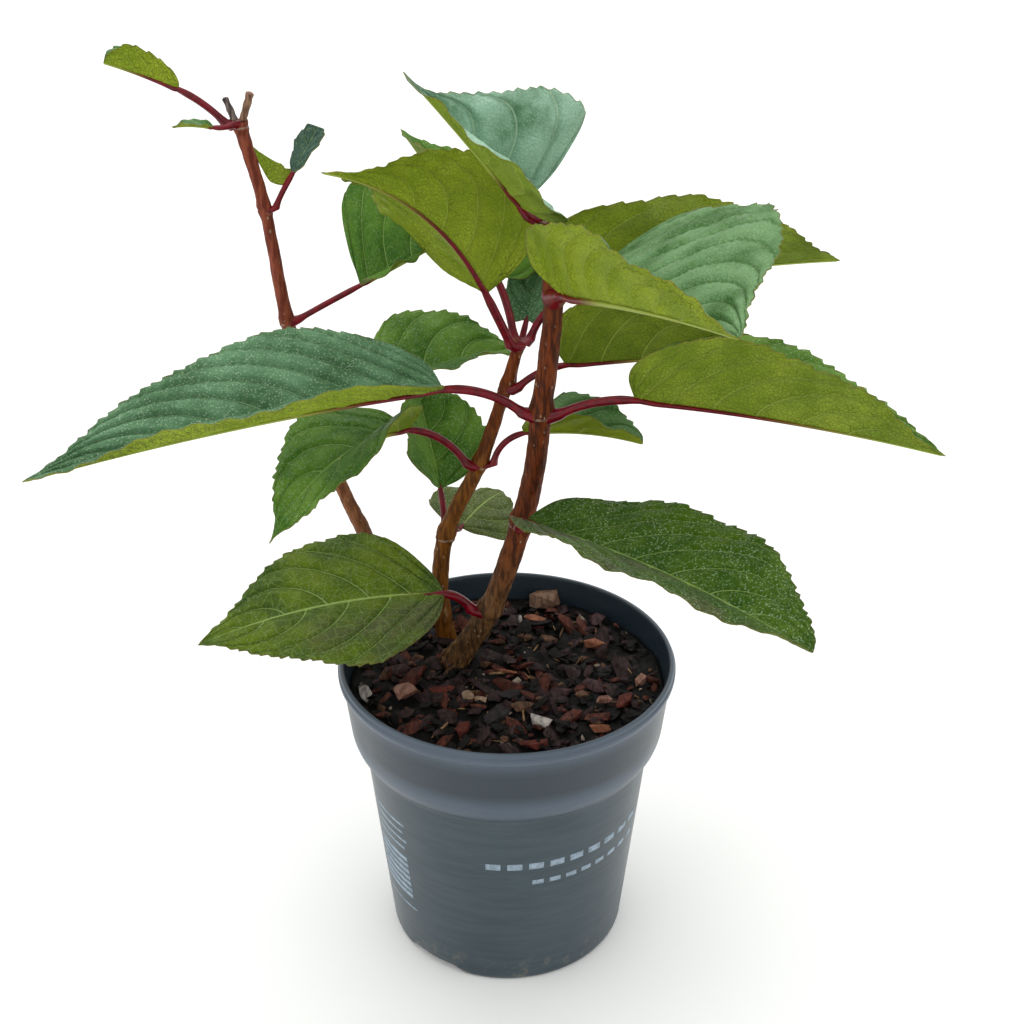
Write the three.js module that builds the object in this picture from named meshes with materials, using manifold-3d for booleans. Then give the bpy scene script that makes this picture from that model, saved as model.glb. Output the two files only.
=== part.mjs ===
// A young hydrangea in a round plastic nursery pot: three woody stems standing in compost,
// each leaf a thin folded blade on its own stalk. Millimetres, +Z up, origin at the centre of
// the pot's underside, +Y away from the side the plant is seen from.
import * as THREE from "three";
import Module from "manifold-3d";

const { Manifold, Mesh } = await manifoldModule();

async function manifoldModule() {
  const wasm = await Module();
  wasm.setup();
  return wasm;
}

// ---------------------------------------------------------------- driving dimensions

const GAP = 0.3; // clearance kept between neighbouring pieces
const POT_HEIGHT = 98.7;
const RIM_RADIUS = 52.5;
const RIM_LIP = 2.1; // width of the rolled lip, seen from above
const RIM_DEPTH = 4.3; // height of the rolled lip
const WALL = 1.3;
const COLLAR_TOP_RADIUS = 51.2; // the wide band under the rim
const COLLAR_FOOT_RADIUS = 49.2;
const COLLAR_FOOT = 76.5;
const SHOULDER = 68.2; // where the step under the band meets the body
const SHOULDER_RADIUS = 45.0;
const BASE_RADIUS = 38.3;
const BASE_ROUND = 2.6;
const FOOT_INNER_RADIUS = 34.2;
const FOOT_OUTER_RADIUS = 36.8;
const PAD_RADIUS = 14.0; // flat middle of the underside
const RECESS = 2.6; // how far the rest of the underside sits above the ground
const FLOOR_TOP = 4.4;
const NOTCH_BEARINGS = [232, 52]; // gaps in the foot ring
const NOTCH_WIDTH = 25.0;
const NOTCH_HEIGHT = 3.0;
const DRAIN_RADIUS = 3.2;
const DRAIN_CIRCLE = 24.5;
const DRAIN_COUNT = 6;
const DRILL_SIDES = 12;
const DRILL_LENGTH = 20.0;
const ARCH_SHOULDER = 0.75; // where a notch's arch turns down, as a share of its half width
const CUT_MARGIN = 5.0; // how far a cutter runs past what it cuts
const LIP_ROUND = 1.0; // rounding of the rolled lip's top edge
const POT_SIDES = 48;

const SOIL_LEVEL = 90.4;

const STEM_SIDES = 10;
const RING_STEP = 7.0; // spacing of the cross sections along a stem
const NODE_SWELL = 1.25; // how much a stem widens where leaves join it
const NODE_SPREAD = 2.4;

const STUB_SIDES = 8;

const STALK_RINGS = 5;
const STALK_SIDES = 8; // as many as a blade's cross section has points
const BLADE_RINGS = 12;
const MIDRIB_THICKNESS = 0.9;
const BLADE_THICKNESS = 0.7;
const BLADE_STEP_POWER = 1.35; // blade stations crowd towards the stalk
const BELLY = 0.36; // where a blade is widest, as a share of its length
const BASE_ROUNDNESS = 0.6;
const TIP_TAPER = 1.15;
const LOBE_INNER = 0.4; // share of a lobe's setback that its inner half has
const LOBE_FADE = 3;
const SHARPEST_FOLD = 0.35;
const NARROWEST = 0.6;
const FULL_THICKNESS_HALF = 4.0; // a blade narrower than this thins out towards its tip

// Stem stations from the compost up: position of the centre line and radius there.
// A station with leaves on it carries the name the leaves are joined by.
const STEMS = {
  front: [
    { x: -17.0, y: 9.0, z: SOIL_LEVEL + GAP, r: 4.6 },
    { x: -12.5, y: 7.6, z: 98.0, r: 3.9 },
    { node: "front_1", x: -5.0, y: 5.0, z: 113.0, r: 3.4 },
    { node: "front_2", x: 4.8, y: -1.0, z: 147.0, r: 3.3 },
    { x: 8.2, y: -3.0, z: 165.0, r: 3.1 },
    { node: "front_3", x: 10.0, y: -5.0, z: 184.0, r: 3.1 },
    { x: 12.0, y: -7.0, z: 204.0, r: 2.8 },
    { node: "front_4", x: 12.8, y: -8.0, z: 221.0, r: 2.6 },
    { node: "front_top", x: 9.3, y: -5.0, z: 241.0, r: 1.7 },
  ],
  middle: [
    { x: -20.0, y: 22.5, z: SOIL_LEVEL + GAP, r: 3.2 },
    { x: -21.5, y: 22.5, z: 110.0, r: 2.7 },
    { node: "middle_1", x: -19.0, y: 22.0, z: 130.0, r: 2.6 },
    { node: "middle_2", x: -8.0, y: 20.0, z: 156.0, r: 2.2 },
    { node: "middle_3", x: 0.0, y: 18.0, z: 182.0, r: 1.8 },
    { node: "middle_top", x: 4.0, y: 18.0, z: 196.0, r: 1.7 },
  ],
  back: [
    { x: -33.0, y: 27.0, z: SOIL_LEVEL + GAP, r: 2.7 },
    { x: -46.0, y: 28.0, z: 128.0, r: 2.4 },
    { x: -51.5, y: 28.0, z: 142.0, r: 2.1 },
    { node: "back_1", x: -59.0, y: 28.0, z: 167.5, r: 2.0 },
    { node: "back_2", x: -65.0, y: 26.0, z: 200.0, r: 1.9 },
    { node: "back_3", x: -68.5, y: 22.0, z: 235.0, r: 1.7 },
    { node: "back_top", x: -73.0, y: 18.0, z: 260.0, r: 1.9 },
  ],
};

// Dead stubs standing on the cut head of the tallest stem.
const STUBS = {
  stub_grey: { on: "back_top", bearing: 195, rise: 72, length: 6.5, foot: 1.1, top: 0.8 },
  stub_brown: { on: "back_top", bearing: 350, rise: 70, length: 8.0, foot: 1.0, top: 1.1 },
};

// Leaves. Angles are in degrees: a bearing of 0 points to +X and 90 to +Y, a rise is the angle
// above level. The stalk sets off at its own bearing and rise and turns into the blade's; the
// blade then droops by the angle given. left and right are the angles the two
// halves stand above level, seen along the leaf from its stalk. width is that of both halves.
const LEAVES = {
  leaf_front_1: {
    on: "front_1", stalk: 11, stalkBearing: 190, stalkRise: 58, stalkRadius: 1.5,
    blade: 76, width: 52, bearing: 195, rise: 8, droop: 28, left: -15, right: 24,
  },
  leaf_front_2: {
    on: "front_2", stalk: 8, stalkBearing: 262, stalkRise: 66, stalkRadius: 1.4,
    blade: 99, width: 54, bearing: 316, rise: 7, droop: 16, left: 14, right: 27, lobe: 14,
    belly: 0.55, taper: 0.85,
  },
  leaf_front_3_left: {
    on: "front_3", stalk: 25, stalkBearing: 190, stalkRise: 38, stalkRadius: 1.4,
    blade: 114, width: 54, bearing: 200, rise: -1, droop: 8, left: 32, right: 37, lobe: 6,
  },
  leaf_front_3_right: {
    on: "front_3", stalk: 23, stalkBearing: 340, stalkRise: 30, stalkRadius: 1.4,
    blade: 84, width: 52, bearing: 344, rise: 0, droop: 9, left: 34, right: 70, lobe: 16,
  },
  leaf_front_4: {
    on: "front_4", stalk: 6, stalkBearing: 280, stalkRise: 20, stalkRadius: 1.8,
    blade: 96, width: 72, bearing: 291, rise: 16, droop: 6, left: 26, right: 58, lobe: 32, skew: 0.3,
  },
  leaf_front_top: {
    on: "front_top", stalk: 4, stalkBearing: 200, stalkRise: 50, stalkRadius: 1.2,
    blade: 52, width: 58, bearing: 216, rise: 50, droop: 4, left: -5, right: 104, lobe: 4,
    belly: 0.22, taper: 2.5,
  },
  leaf_middle_1_left: {
    on: "middle_1", stalk: 12, stalkBearing: 100, stalkRise: 75, stalkRadius: 1.0,
    blade: 40, width: 38, bearing: 113, rise: 56, droop: 6, left: 50, right: 15,
  },
  leaf_middle_1_right: {
    on: "middle_1", stalk: 5, stalkBearing: 60, stalkRise: -50, stalkRadius: 1.0,
    blade: 32, width: 33, bearing: 65, rise: 8, droop: 25, left: 10, right: -18, lobe: 4,
  },
  leaf_middle_2_left: {
    on: "middle_2", stalk: 26, stalkBearing: 200, stalkRise: 56, stalkRadius: 1.3,
    blade: 60, width: 42, bearing: 228, rise: 14, droop: 66, left: 60, right: 12,
    tipLeft: -10, tipRight: 15, lobe: 6, taper: 1.5,
  },
  leaf_middle_2_right: {
    on: "middle_2", stalk: 16, stalkBearing: 340, stalkRise: 74, stalkRadius: 1.1,
    blade: 37, width: 30, bearing: 341, rise: 14, droop: 24, left: 30, right: 45, taper: 0.75,
  },
  leaf_middle_3_right: {
    on: "middle_3", stalk: 17, stalkBearing: 340, stalkRise: 46, stalkRadius: 1.2,
    blade: 60, width: 48, bearing: 352, rise: 8, droop: 2, left: 30, right: 75, lobe: 16,
  },
  leaf_middle_3_left: {
    on: "middle_3", stalk: 19, stalkBearing: 60, stalkRise: 66, stalkRadius: 1.0,
    blade: 26, width: 18, bearing: 70, rise: 48, droop: 10, left: 20, right: 20, lobe: 8,
  },
  leaf_middle_top_left: {
    on: "middle_top", stalk: 20, stalkBearing: 225, stalkRise: 62, stalkRadius: 1.4,
    blade: 69, width: 56, bearing: 218, rise: 62, droop: 48, left: 70, right: -2, belly: 0.28, taper: 1.8,
  },
  leaf_middle_top_back: {
    on: "middle_top", stalk: 19, stalkBearing: 120, stalkRise: 70, stalkRadius: 1.2,
    blade: 56, width: 42, bearing: 131, rise: 44, droop: 12, left: 55, right: 15, lobe: 20,
  },
  leaf_middle_top_right: {
    on: "middle_top", stalk: 20, stalkBearing: 35, stalkRise: 60, stalkRadius: 1.2,
    blade: 86, width: 60, bearing: 17, rise: 5, droop: 9, left: 30, right: 72, lobe: 34, belly: 0.28,
  },
  leaf_back_1: {
    on: "back_1", stalk: 17, stalkBearing: 355, stalkRise: 36, stalkRadius: 1.0,
    blade: 48, width: 44, bearing: 13, rise: 22, droop: 24, left: 36, right: 20, lobe: 4,
  },
  leaf_back_2: {
    on: "back_2", stalk: 21, stalkBearing: 0, stalkRise: 30, stalkRadius: 1.0,
    blade: 29, width: 46, bearing: 8, rise: 26, droop: 0, left: 52, right: 18, lobe: 0,
    skew: 0.3,
  },
  leaf_back_3: {
    on: "back_3", stalk: 11, stalkBearing: 350, stalkRise: 66, stalkRadius: 0.9,
    blade: 15, width: 12, bearing: 40, rise: 50, droop: 0, left: 10, right: 10,
    belly: 0.8, taper: 0.3,
  },
  leaf_back_top_long: {
    on: "back_top", stalk: 15, stalkBearing: 192, stalkRise: 48, stalkRadius: 1.1,
    blade: 21, width: 15, bearing: 205, rise: 28, droop: 8, left: 72, right: 50, belly: 0.7, taper: 0.5,
  },
  leaf_back_top_short: {
    on: "back_top", stalk: 6, stalkBearing: 245, stalkRise: -5, stalkRadius: 0.8,
    blade: 11, width: 7, bearing: 190, rise: 12, droop: 20, left: 20, right: 20,
  },
};

// ---------------------------------------------------------------- helpers

const radians = THREE.MathUtils.degToRad;
const mix = THREE.MathUtils.lerp;

// Unit vector with a bearing and a rise.
function heading(bearing, rise) {
  const level = Math.cos(radians(rise));
  return new THREE.Vector3(
    level * Math.cos(radians(bearing)),
    level * Math.sin(radians(bearing)),
    Math.sin(radians(rise)),
  );
}

// Closed surface through rings of equal size: the first and last are closed by a middle point.
function loft(rings, first, last) {
  const size = rings[0].length;
  const points = [first, ...rings.flat(), last];
  const index = [];
  for (let i = 0; i < size; i++) {
    const next = (i + 1) % size;
    index.push(0, 1 + next, 1 + i);
    for (let k = 0; k + 1 < rings.length; k++) {
      const low = 1 + k * size;
      const high = low + size;
      index.push(low + i, low + next, high + next);
      index.push(low + i, high + next, high + i);
    }
    const top = 1 + (rings.length - 1) * size;
    index.push(points.length - 1, top + i, top + next);
  }
  const geometry = new THREE.BufferGeometry().setFromPoints(points);
  geometry.setIndex(index);
  return geometry;
}

function toSolid(geometry) {
  const position = geometry.getAttribute("position").array;
  const keys = new Map();
  const remap = [];
  const verts = [];
  for (let i = 0; i < position.length; i += 3) {
    const key = [0, 1, 2].map((k) => Math.round(position[i + k] * 1e4)).join();
    if (!keys.has(key)) {
      keys.set(key, verts.length / 3);
      verts.push(position[i], position[i + 1], position[i + 2]);
    }
    remap.push(keys.get(key));
  }
  const source = geometry.index ? Array.from(geometry.index.array) : remap.map((_, i) => i);
  const triangles = [];
  for (let i = 0; i < source.length; i += 3) {
    const [a, b, c] = [remap[source[i]], remap[source[i + 1]], remap[source[i + 2]]];
    if (a !== b && b !== c && c !== a) triangles.push(a, b, c);
  }
  return new Manifold(
    new Mesh({
      numProp: 3,
      vertProperties: new Float32Array(verts),
      triVerts: new Uint32Array(triangles),
    }),
  );
}

function toGeometry(solid) {
  const mesh = solid.getMesh();
  const geometry = new THREE.BufferGeometry();
  geometry.setAttribute("position", new THREE.BufferAttribute(mesh.vertProperties, 3));
  geometry.setIndex(new THREE.BufferAttribute(mesh.triVerts, 1));
  return geometry;
}

// ---------------------------------------------------------------- pot and compost

function lathe(profile, sides) {
  const points = profile.map(([r, z]) => new THREE.Vector2(r, z));
  return new THREE.LatheGeometry(points, sides).rotateX(Math.PI / 2);
}

// The pot's wall as an outline from the middle of the underside, up the outside, over the
// rolled lip and down the inside. The step under the collar is a soft S between two slopes.
function potProfile() {
  const inner = RIM_RADIUS - RIM_LIP;
  return [
    [0, 0],
    [PAD_RADIUS, 0],
    [PAD_RADIUS + 1, RECESS],
    [FOOT_INNER_RADIUS - 0.7, RECESS],
    [FOOT_INNER_RADIUS, 0],
    [FOOT_OUTER_RADIUS, 0],
    [mix(FOOT_OUTER_RADIUS, BASE_RADIUS, 0.7), BASE_ROUND * 0.35],
    [BASE_RADIUS, BASE_ROUND],
    [SHOULDER_RADIUS, SHOULDER],
    [mix(SHOULDER_RADIUS, COLLAR_FOOT_RADIUS, 0.33), mix(SHOULDER, COLLAR_FOOT, 0.28)],
    [mix(SHOULDER_RADIUS, COLLAR_FOOT_RADIUS, 0.8), mix(SHOULDER, COLLAR_FOOT, 0.62)],
    [COLLAR_FOOT_RADIUS, COLLAR_FOOT],
    [COLLAR_TOP_RADIUS, POT_HEIGHT - RIM_DEPTH],
    [RIM_RADIUS - 0.2, POT_HEIGHT - RIM_DEPTH + 0.8],
    [RIM_RADIUS, POT_HEIGHT - 1.7],
    [RIM_RADIUS - 0.4, POT_HEIGHT - 0.4],
    [RIM_RADIUS - LIP_ROUND, POT_HEIGHT],
    [inner + 0.3, POT_HEIGHT - 0.3],
    [inner, POT_HEIGHT - 1.3],
    [COLLAR_TOP_RADIUS - WALL, POT_HEIGHT - RIM_DEPTH],
    [COLLAR_FOOT_RADIUS - WALL, COLLAR_FOOT],
    [mix(SHOULDER_RADIUS, COLLAR_FOOT_RADIUS, 0.5) - WALL, mix(SHOULDER, COLLAR_FOOT, 0.5)],
    [SHOULDER_RADIUS - WALL, SHOULDER],
    [BASE_RADIUS - WALL, FLOOR_TOP],
    [0, FLOOR_TOP],
  ];
}

// An arch lying along +X from the axis outwards, used to cut the foot ring.
function footNotch(bearing) {
  const half = NOTCH_WIDTH / 2;
  const arch = new THREE.Shape();
  arch.moveTo(-half, -1);
  arch.lineTo(half, -1);
  arch.lineTo(half, 0);
  arch.quadraticCurveTo(half * ARCH_SHOULDER, NOTCH_HEIGHT, 0, NOTCH_HEIGHT);
  arch.quadraticCurveTo(-half * ARCH_SHOULDER, NOTCH_HEIGHT, -half, 0);
  const near = FOOT_INNER_RADIUS - CUT_MARGIN;
  const cutter = new THREE.ExtrudeGeometry(arch, {
    depth: BASE_RADIUS + CUT_MARGIN - near, bevelEnabled: false, curveSegments: 5,
  });
  cutter.rotateX(Math.PI / 2).rotateZ(Math.PI / 2);
  cutter.translate(near, 0, 0);
  cutter.rotateZ(radians(bearing));
  return cutter;
}

function potGeometry() {
  let pot = toSolid(lathe(potProfile(), POT_SIDES));
  for (const bearing of NOTCH_BEARINGS) {
    pot = pot.subtract(toSolid(footNotch(bearing)));
  }
  for (let i = 0; i < DRAIN_COUNT; i++) {
    const bearing = radians((i + 0.5) * (360 / DRAIN_COUNT));
    const drill = new THREE.CylinderGeometry(
      DRAIN_RADIUS, DRAIN_RADIUS, DRILL_LENGTH, DRILL_SIDES,
    );
    drill.rotateX(Math.PI / 2);
    drill.translate(DRAIN_CIRCLE * Math.cos(bearing), DRAIN_CIRCLE * Math.sin(bearing), 0);
    pot = pot.subtract(toSolid(drill));
  }
  return toGeometry(pot);
}

// The compost fills the pot, so it follows the inside of the wall.
function compostGeometry() {
  const clear = WALL + GAP + 0.1;
  const wallAt = (z) => mix(
    COLLAR_FOOT_RADIUS, COLLAR_TOP_RADIUS,
    (z - COLLAR_FOOT) / (POT_HEIGHT - RIM_DEPTH - COLLAR_FOOT),
  );
  return lathe([
    [0, FLOOR_TOP + GAP],
    [BASE_RADIUS - clear, FLOOR_TOP + GAP],
    [SHOULDER_RADIUS - clear, SHOULDER],
    [COLLAR_FOOT_RADIUS - clear - 0.3, COLLAR_FOOT],
    [wallAt(SOIL_LEVEL) - clear, SOIL_LEVEL],
    [0, SOIL_LEVEL],
  ], POT_SIDES);
}

// ---------------------------------------------------------------- stems

function stemPath(stations) {
  const points = stations.map((s) => new THREE.Vector3(s.x, s.y, s.z));
  return new THREE.CatmullRomCurve3(points, false, "centripetal");
}

// Radius along a stem: the stations' own radii, wider for a short way at each leaf joint.
function stemRadius(stations, share) {
  const place = share * (stations.length - 1);
  const low = Math.min(Math.floor(place), stations.length - 2);
  return mix(stations[low].r, stations[low + 1].r, place - low);
}

function swellAt(stations, point) {
  let swell = 1;
  for (const s of stations.filter((station) => station.node)) {
    const away = point.distanceTo(new THREE.Vector3(s.x, s.y, s.z)) / NODE_SPREAD;
    swell = Math.max(swell, 1 + (NODE_SWELL - 1) * Math.exp(-away * away));
  }
  return swell;
}

function stemGeometry(stations) {
  const path = stemPath(stations);
  const shares = [];
  for (let k = 0; k + 1 < stations.length; k++) {
    const a = stations[k];
    const b = stations[k + 1];
    const span = Math.hypot(b.x - a.x, b.y - a.y, b.z - a.z);
    const steps = Math.max(2, Math.round(span / RING_STEP));
    for (let i = 0; i < steps; i++) shares.push((k + i / steps) / (stations.length - 1));
  }
  shares.push(1);
  const rings = shares.map((share, k) => {
    const centre = path.getPoint(share);
    const along = k === 0 ? new THREE.Vector3(0, 0, 1) : path.getTangent(share);
    const across = new THREE.Vector3(1, 0, 0).projectOnPlane(along).normalize();
    const deep = along.clone().cross(across);
    const radius = stemRadius(stations, share) * swellAt(stations, centre);
    return Array.from({ length: STEM_SIDES }, (_, i) => {
      const turn = (2 * Math.PI * i) / STEM_SIDES;
      return centre.clone()
        .addScaledVector(across, radius * Math.cos(turn))
        .addScaledVector(deep, radius * Math.sin(turn));
    });
  });
  return loft(rings, path.getPoint(0), path.getPoint(1));
}

// A stub stands clear of the stem's end and of the other stub.
function stubGeometry(stub) {
  const start = joint(stub.on);
  const level = heading(stub.bearing, 0);
  const foot = new THREE.Vector3(start.x, start.y, start.z + start.r * 0.6)
    .addScaledVector(level, stub.foot + GAP);
  const along = heading(stub.bearing, stub.rise);
  const shares = [0, 0.5, 1];
  const rings = shares.map((share) => {
    const centre = foot.clone().addScaledVector(along, share * stub.length);
    const radius = mix(stub.foot, stub.top, share);
    return Array.from({ length: STUB_SIDES }, (_, i) => {
      const turn = (2 * Math.PI * i) / STUB_SIDES;
      return centre.clone().add(new THREE.Vector3(
        radius * Math.cos(turn), radius * Math.sin(turn), 0,
      ));
    });
  });
  const end = foot.clone().addScaledVector(along, stub.length + stub.top * 0.5);
  return loft(rings, foot, end);
}

function joint(name) {
  const stations = Object.values(STEMS).flat();
  return stations.find((station) => station.node === name);
}

// ---------------------------------------------------------------- leaves

// Half width of a blade as a share of its widest, t from the stalk (0) to the tip (1).
function outline(t, leaf) {
  const belly = leaf.belly ?? BELLY;
  if (t < belly) return Math.sin((Math.PI / 2) * (t / belly)) ** BASE_ROUNDNESS;
  return Math.cos((Math.PI / 2) * ((t - belly) / (1 - belly))) ** (leaf.taper ?? TIP_TAPER);
}

// Centre line of a leaf: stalk then blade, with the bearing and rise at every step.
function leafLine(leaf) {
  const start = joint(leaf.on);
  const clear = start.r * NODE_SWELL + GAP + leaf.stalkRadius;
  const here = new THREE.Vector3(start.x, start.y, start.z);
  here.addScaledVector(heading(leaf.stalkBearing, 0), clear);
  const line = [];
  const step = (bearing, rise, length, t) => {
    line.push({ at: here.clone(), bearing, rise, t });
    here.addScaledVector(heading(bearing, rise), length);
  };
  for (let i = 0; i < STALK_RINGS; i++) {
    const share = i / STALK_RINGS;
    const turn = ((leaf.bearing - leaf.stalkBearing + 540) % 360) - 180;
    const bearing = leaf.stalkBearing + turn * share;
    step(bearing, mix(leaf.stalkRise, leaf.rise, share), leaf.stalk / STALK_RINGS, -1 + share);
  }
  const shares = Array.from({ length: BLADE_RINGS + 1 }, (_, i) => (i / BLADE_RINGS) ** BLADE_STEP_POWER);
  shares.forEach((t, i) => {
    const next = i < BLADE_RINGS ? shares[i + 1] : t;
    step(leaf.bearing, leaf.rise - leaf.droop * t, (next - t) * leaf.blade, t);
  });
  return line;
}

function stalkRing(place, radius) {
  const along = heading(place.bearing, place.rise);
  const left = heading(place.bearing + 90, 0);
  const up = along.clone().cross(left);
  return Array.from({ length: STALK_SIDES }, (_, i) => {
    const turn = (2 * Math.PI * i) / STALK_SIDES;
    return place.at.clone()
      .addScaledVector(left, radius * Math.cos(turn))
      .addScaledVector(up, radius * Math.sin(turn));
  });
}

// Cross section of a folded blade: margin, two upper points and the midrib, and the same below.
function bladeRing(place, leaf) {
  const along = heading(place.bearing, place.rise);
  const left = heading(place.bearing + 90, 0);
  const up = along.clone().cross(left);
  const widest = leaf.width / 2;
  const half = Math.max(widest * outline(place.t, leaf), NARROWEST);
  const lobe = (leaf.lobe ?? 0) * (half / widest) * (1 - place.t) ** LOBE_FADE;
  const thin = Math.min(1, half / FULL_THICKNESS_HALF);
  const leftAngle = mix(leaf.left, leaf.tipLeft ?? leaf.left, place.t);
  const rightAngle = mix(leaf.right, leaf.tipRight ?? leaf.right, place.t);

  const wing = (sign, degrees) => {
    const angle = radians(degrees);
    const reach = half * (1 + sign * (leaf.skew ?? 0));
    const out = left.clone().multiplyScalar(sign * Math.cos(angle)).addScaledVector(up, Math.sin(angle));
    const face = left.clone().multiplyScalar(-sign * Math.sin(angle)).addScaledVector(up, Math.cos(angle));
    const middle = place.at.clone()
      .addScaledVector(out, reach / 2)
      .addScaledVector(along, -lobe * LOBE_INNER);
    const margin = place.at.clone()
      .addScaledVector(out, reach)
      .addScaledVector(along, -lobe);
    const skin = (BLADE_THICKNESS / 2) * thin;
    return {
      margin,
      top: middle.clone().addScaledVector(face, skin),
      bottom: middle.clone().addScaledVector(face, -skin),
    };
  };

  const l = wing(1, leftAngle);
  const r = wing(-1, rightAngle);
  const opening = radians(180 - leftAngle - rightAngle);
  const fold = Math.max(Math.sin(opening / 2), SHARPEST_FOLD);
  const crest = (MIDRIB_THICKNESS / 2 / fold) * thin;
  const tilt = radians((leftAngle - rightAngle) / 2);
  const middleUp = up.clone().multiplyScalar(Math.cos(tilt)).addScaledVector(left, -Math.sin(tilt));
  return [
    l.margin,
    l.top,
    place.at.clone().addScaledVector(middleUp, crest),
    r.top,
    r.margin,
    r.bottom,
    place.at.clone().addScaledVector(middleUp, -crest),
    l.bottom,
  ];
}

function leafGeometry(leaf) {
  const line = leafLine(leaf);
  const tip = line.pop();
  const rings = line.map((place) =>
    place.t <= 0 ? stalkRing(place, leaf.stalkRadius) : bladeRing(place, leaf));
  return loft(rings, line[0].at, tip.at);
}

// ---------------------------------------------------------------- the assembly

const COLOURS = {
  pot: 0x59636b,
  compost: 0x2b201b,
  bark: 0x6b4630,
  leaf: 0x5d7a35,
};

function material(color, roughness) {
  return new THREE.MeshStandardMaterial({ color, roughness, metalness: 0 });
}

const plant = new THREE.Group();
plant.name = "potted_hydrangea";

function add(name, geometry, surface) {
  const mesh = new THREE.Mesh(geometry, surface);
  mesh.name = name;
  plant.add(mesh);
}

add("pot", potGeometry(), material(COLOURS.pot, 0.45));
add("compost", compostGeometry(), material(COLOURS.compost, 0.95));
for (const [name, stations] of Object.entries(STEMS)) {
  add("stem_" + name, stemGeometry(stations), material(COLOURS.bark, 0.8));
}
for (const [name, stub] of Object.entries(STUBS)) {
  add(name, stubGeometry(stub), material(COLOURS.bark, 0.9));
}
for (const [name, leaf] of Object.entries(LEAVES)) {
  add(name, leafGeometry(leaf), material(COLOURS.leaf, 0.5));
}

export default plant;
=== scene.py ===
"""The looks of a young hydrangea in a plastic nursery pot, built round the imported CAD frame.

Tables and shape functions work in millimetres, in the frame's own axes; meshes are made in metres.
"""

import math
import random

import bmesh
import bpy
import numpy as np
from mathutils import Matrix, Vector, noise


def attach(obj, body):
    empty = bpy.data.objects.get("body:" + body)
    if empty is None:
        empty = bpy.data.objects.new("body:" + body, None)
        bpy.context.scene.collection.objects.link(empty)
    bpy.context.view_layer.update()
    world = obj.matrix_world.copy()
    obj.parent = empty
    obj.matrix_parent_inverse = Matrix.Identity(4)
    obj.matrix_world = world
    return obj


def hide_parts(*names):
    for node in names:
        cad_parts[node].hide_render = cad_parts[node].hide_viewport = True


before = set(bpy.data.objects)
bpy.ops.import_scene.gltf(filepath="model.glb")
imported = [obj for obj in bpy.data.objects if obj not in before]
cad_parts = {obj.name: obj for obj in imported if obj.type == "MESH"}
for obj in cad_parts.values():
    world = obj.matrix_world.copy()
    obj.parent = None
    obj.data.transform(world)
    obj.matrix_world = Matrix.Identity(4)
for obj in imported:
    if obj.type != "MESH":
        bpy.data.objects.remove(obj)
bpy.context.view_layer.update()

MM = 0.001

# ------------------------------------------------------------------ sizes shared with the CAD

GAP = 0.3
POT_HEIGHT = 98.7
RIM_RADIUS = 52.5
RIM_LIP = 2.1
RIM_DEPTH = 4.3
WALL = 1.3
COLLAR_TOP_RADIUS = 51.2
COLLAR_FOOT_RADIUS = 49.2
COLLAR_FOOT = 76.5
SHOULDER = 68.2
SHOULDER_RADIUS = 45.0
BASE_RADIUS = 38.3
BASE_ROUND = 2.6
FOOT_INNER_RADIUS = 34.2
FOOT_OUTER_RADIUS = 36.8
PAD_RADIUS = 14.0
RECESS = 2.6
FLOOR_TOP = 4.4
NOTCH_BEARINGS = [232, 52]
NOTCH_WIDTH = 25.0
NOTCH_HEIGHT = 3.0
DRAIN_RADIUS = 3.2
DRAIN_CIRCLE = 24.5
DRAIN_COUNT = 6
SOIL_LEVEL = 90.4
NODE_SWELL = 1.25
NODE_SPREAD = 2.4
STALK_STEPS = 5
BLADE_STEPS = 12
BLADE_STEP_POWER = 1.35
BELLY = 0.36
BASE_ROUNDNESS = 0.6
TIP_TAPER = 1.15

# Stem stations from the compost up: x, y, z, radius and the name of the leaf joint there.
STEMS = {
    "front": [
        (-17.0, 9.0, 90.7, 4.6, None),
        (-12.5, 7.6, 98.0, 3.9, None),
        (-5.0, 5.0, 113.0, 3.4, "front_1"),
        (4.8, -1.0, 147.0, 3.3, "front_2"),
        (8.2, -3.0, 165.0, 3.1, None),
        (10.0, -5.0, 184.0, 3.1, "front_3"),
        (12.0, -7.0, 204.0, 2.8, None),
        (12.8, -8.0, 221.0, 2.6, "front_4"),
        (9.3, -5.0, 241.0, 1.7, "front_top"),
    ],
    "middle": [
        (-20.0, 22.5, 90.7, 3.2, None),
        (-21.5, 22.5, 110.0, 2.7, None),
        (-19.0, 22.0, 130.0, 2.6, "middle_1"),
        (-8.0, 20.0, 156.0, 2.2, "middle_2"),
        (0.0, 18.0, 182.0, 1.8, "middle_3"),
        (4.0, 18.0, 196.0, 1.7, "middle_top"),
    ],
    "back": [
        (-33.0, 27.0, 90.7, 2.7, None),
        (-46.0, 28.0, 128.0, 2.4, None),
        (-51.5, 28.0, 142.0, 2.1, None),
        (-59.0, 28.0, 167.5, 2.0, "back_1"),
        (-65.0, 26.0, 200.0, 1.9, "back_2"),
        (-68.5, 22.0, 235.0, 1.7, "back_3"),
        (-73.0, 18.0, 260.0, 1.9, "back_top"),
    ],
}

STUBS = {
    "stub_grey": dict(on="back_top", bearing=195, rise=72, length=6.5, foot=1.1, top=0.8),
    "stub_brown": dict(on="back_top", bearing=350, rise=70, length=8.0, foot=1.0, top=1.1),
}

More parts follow.
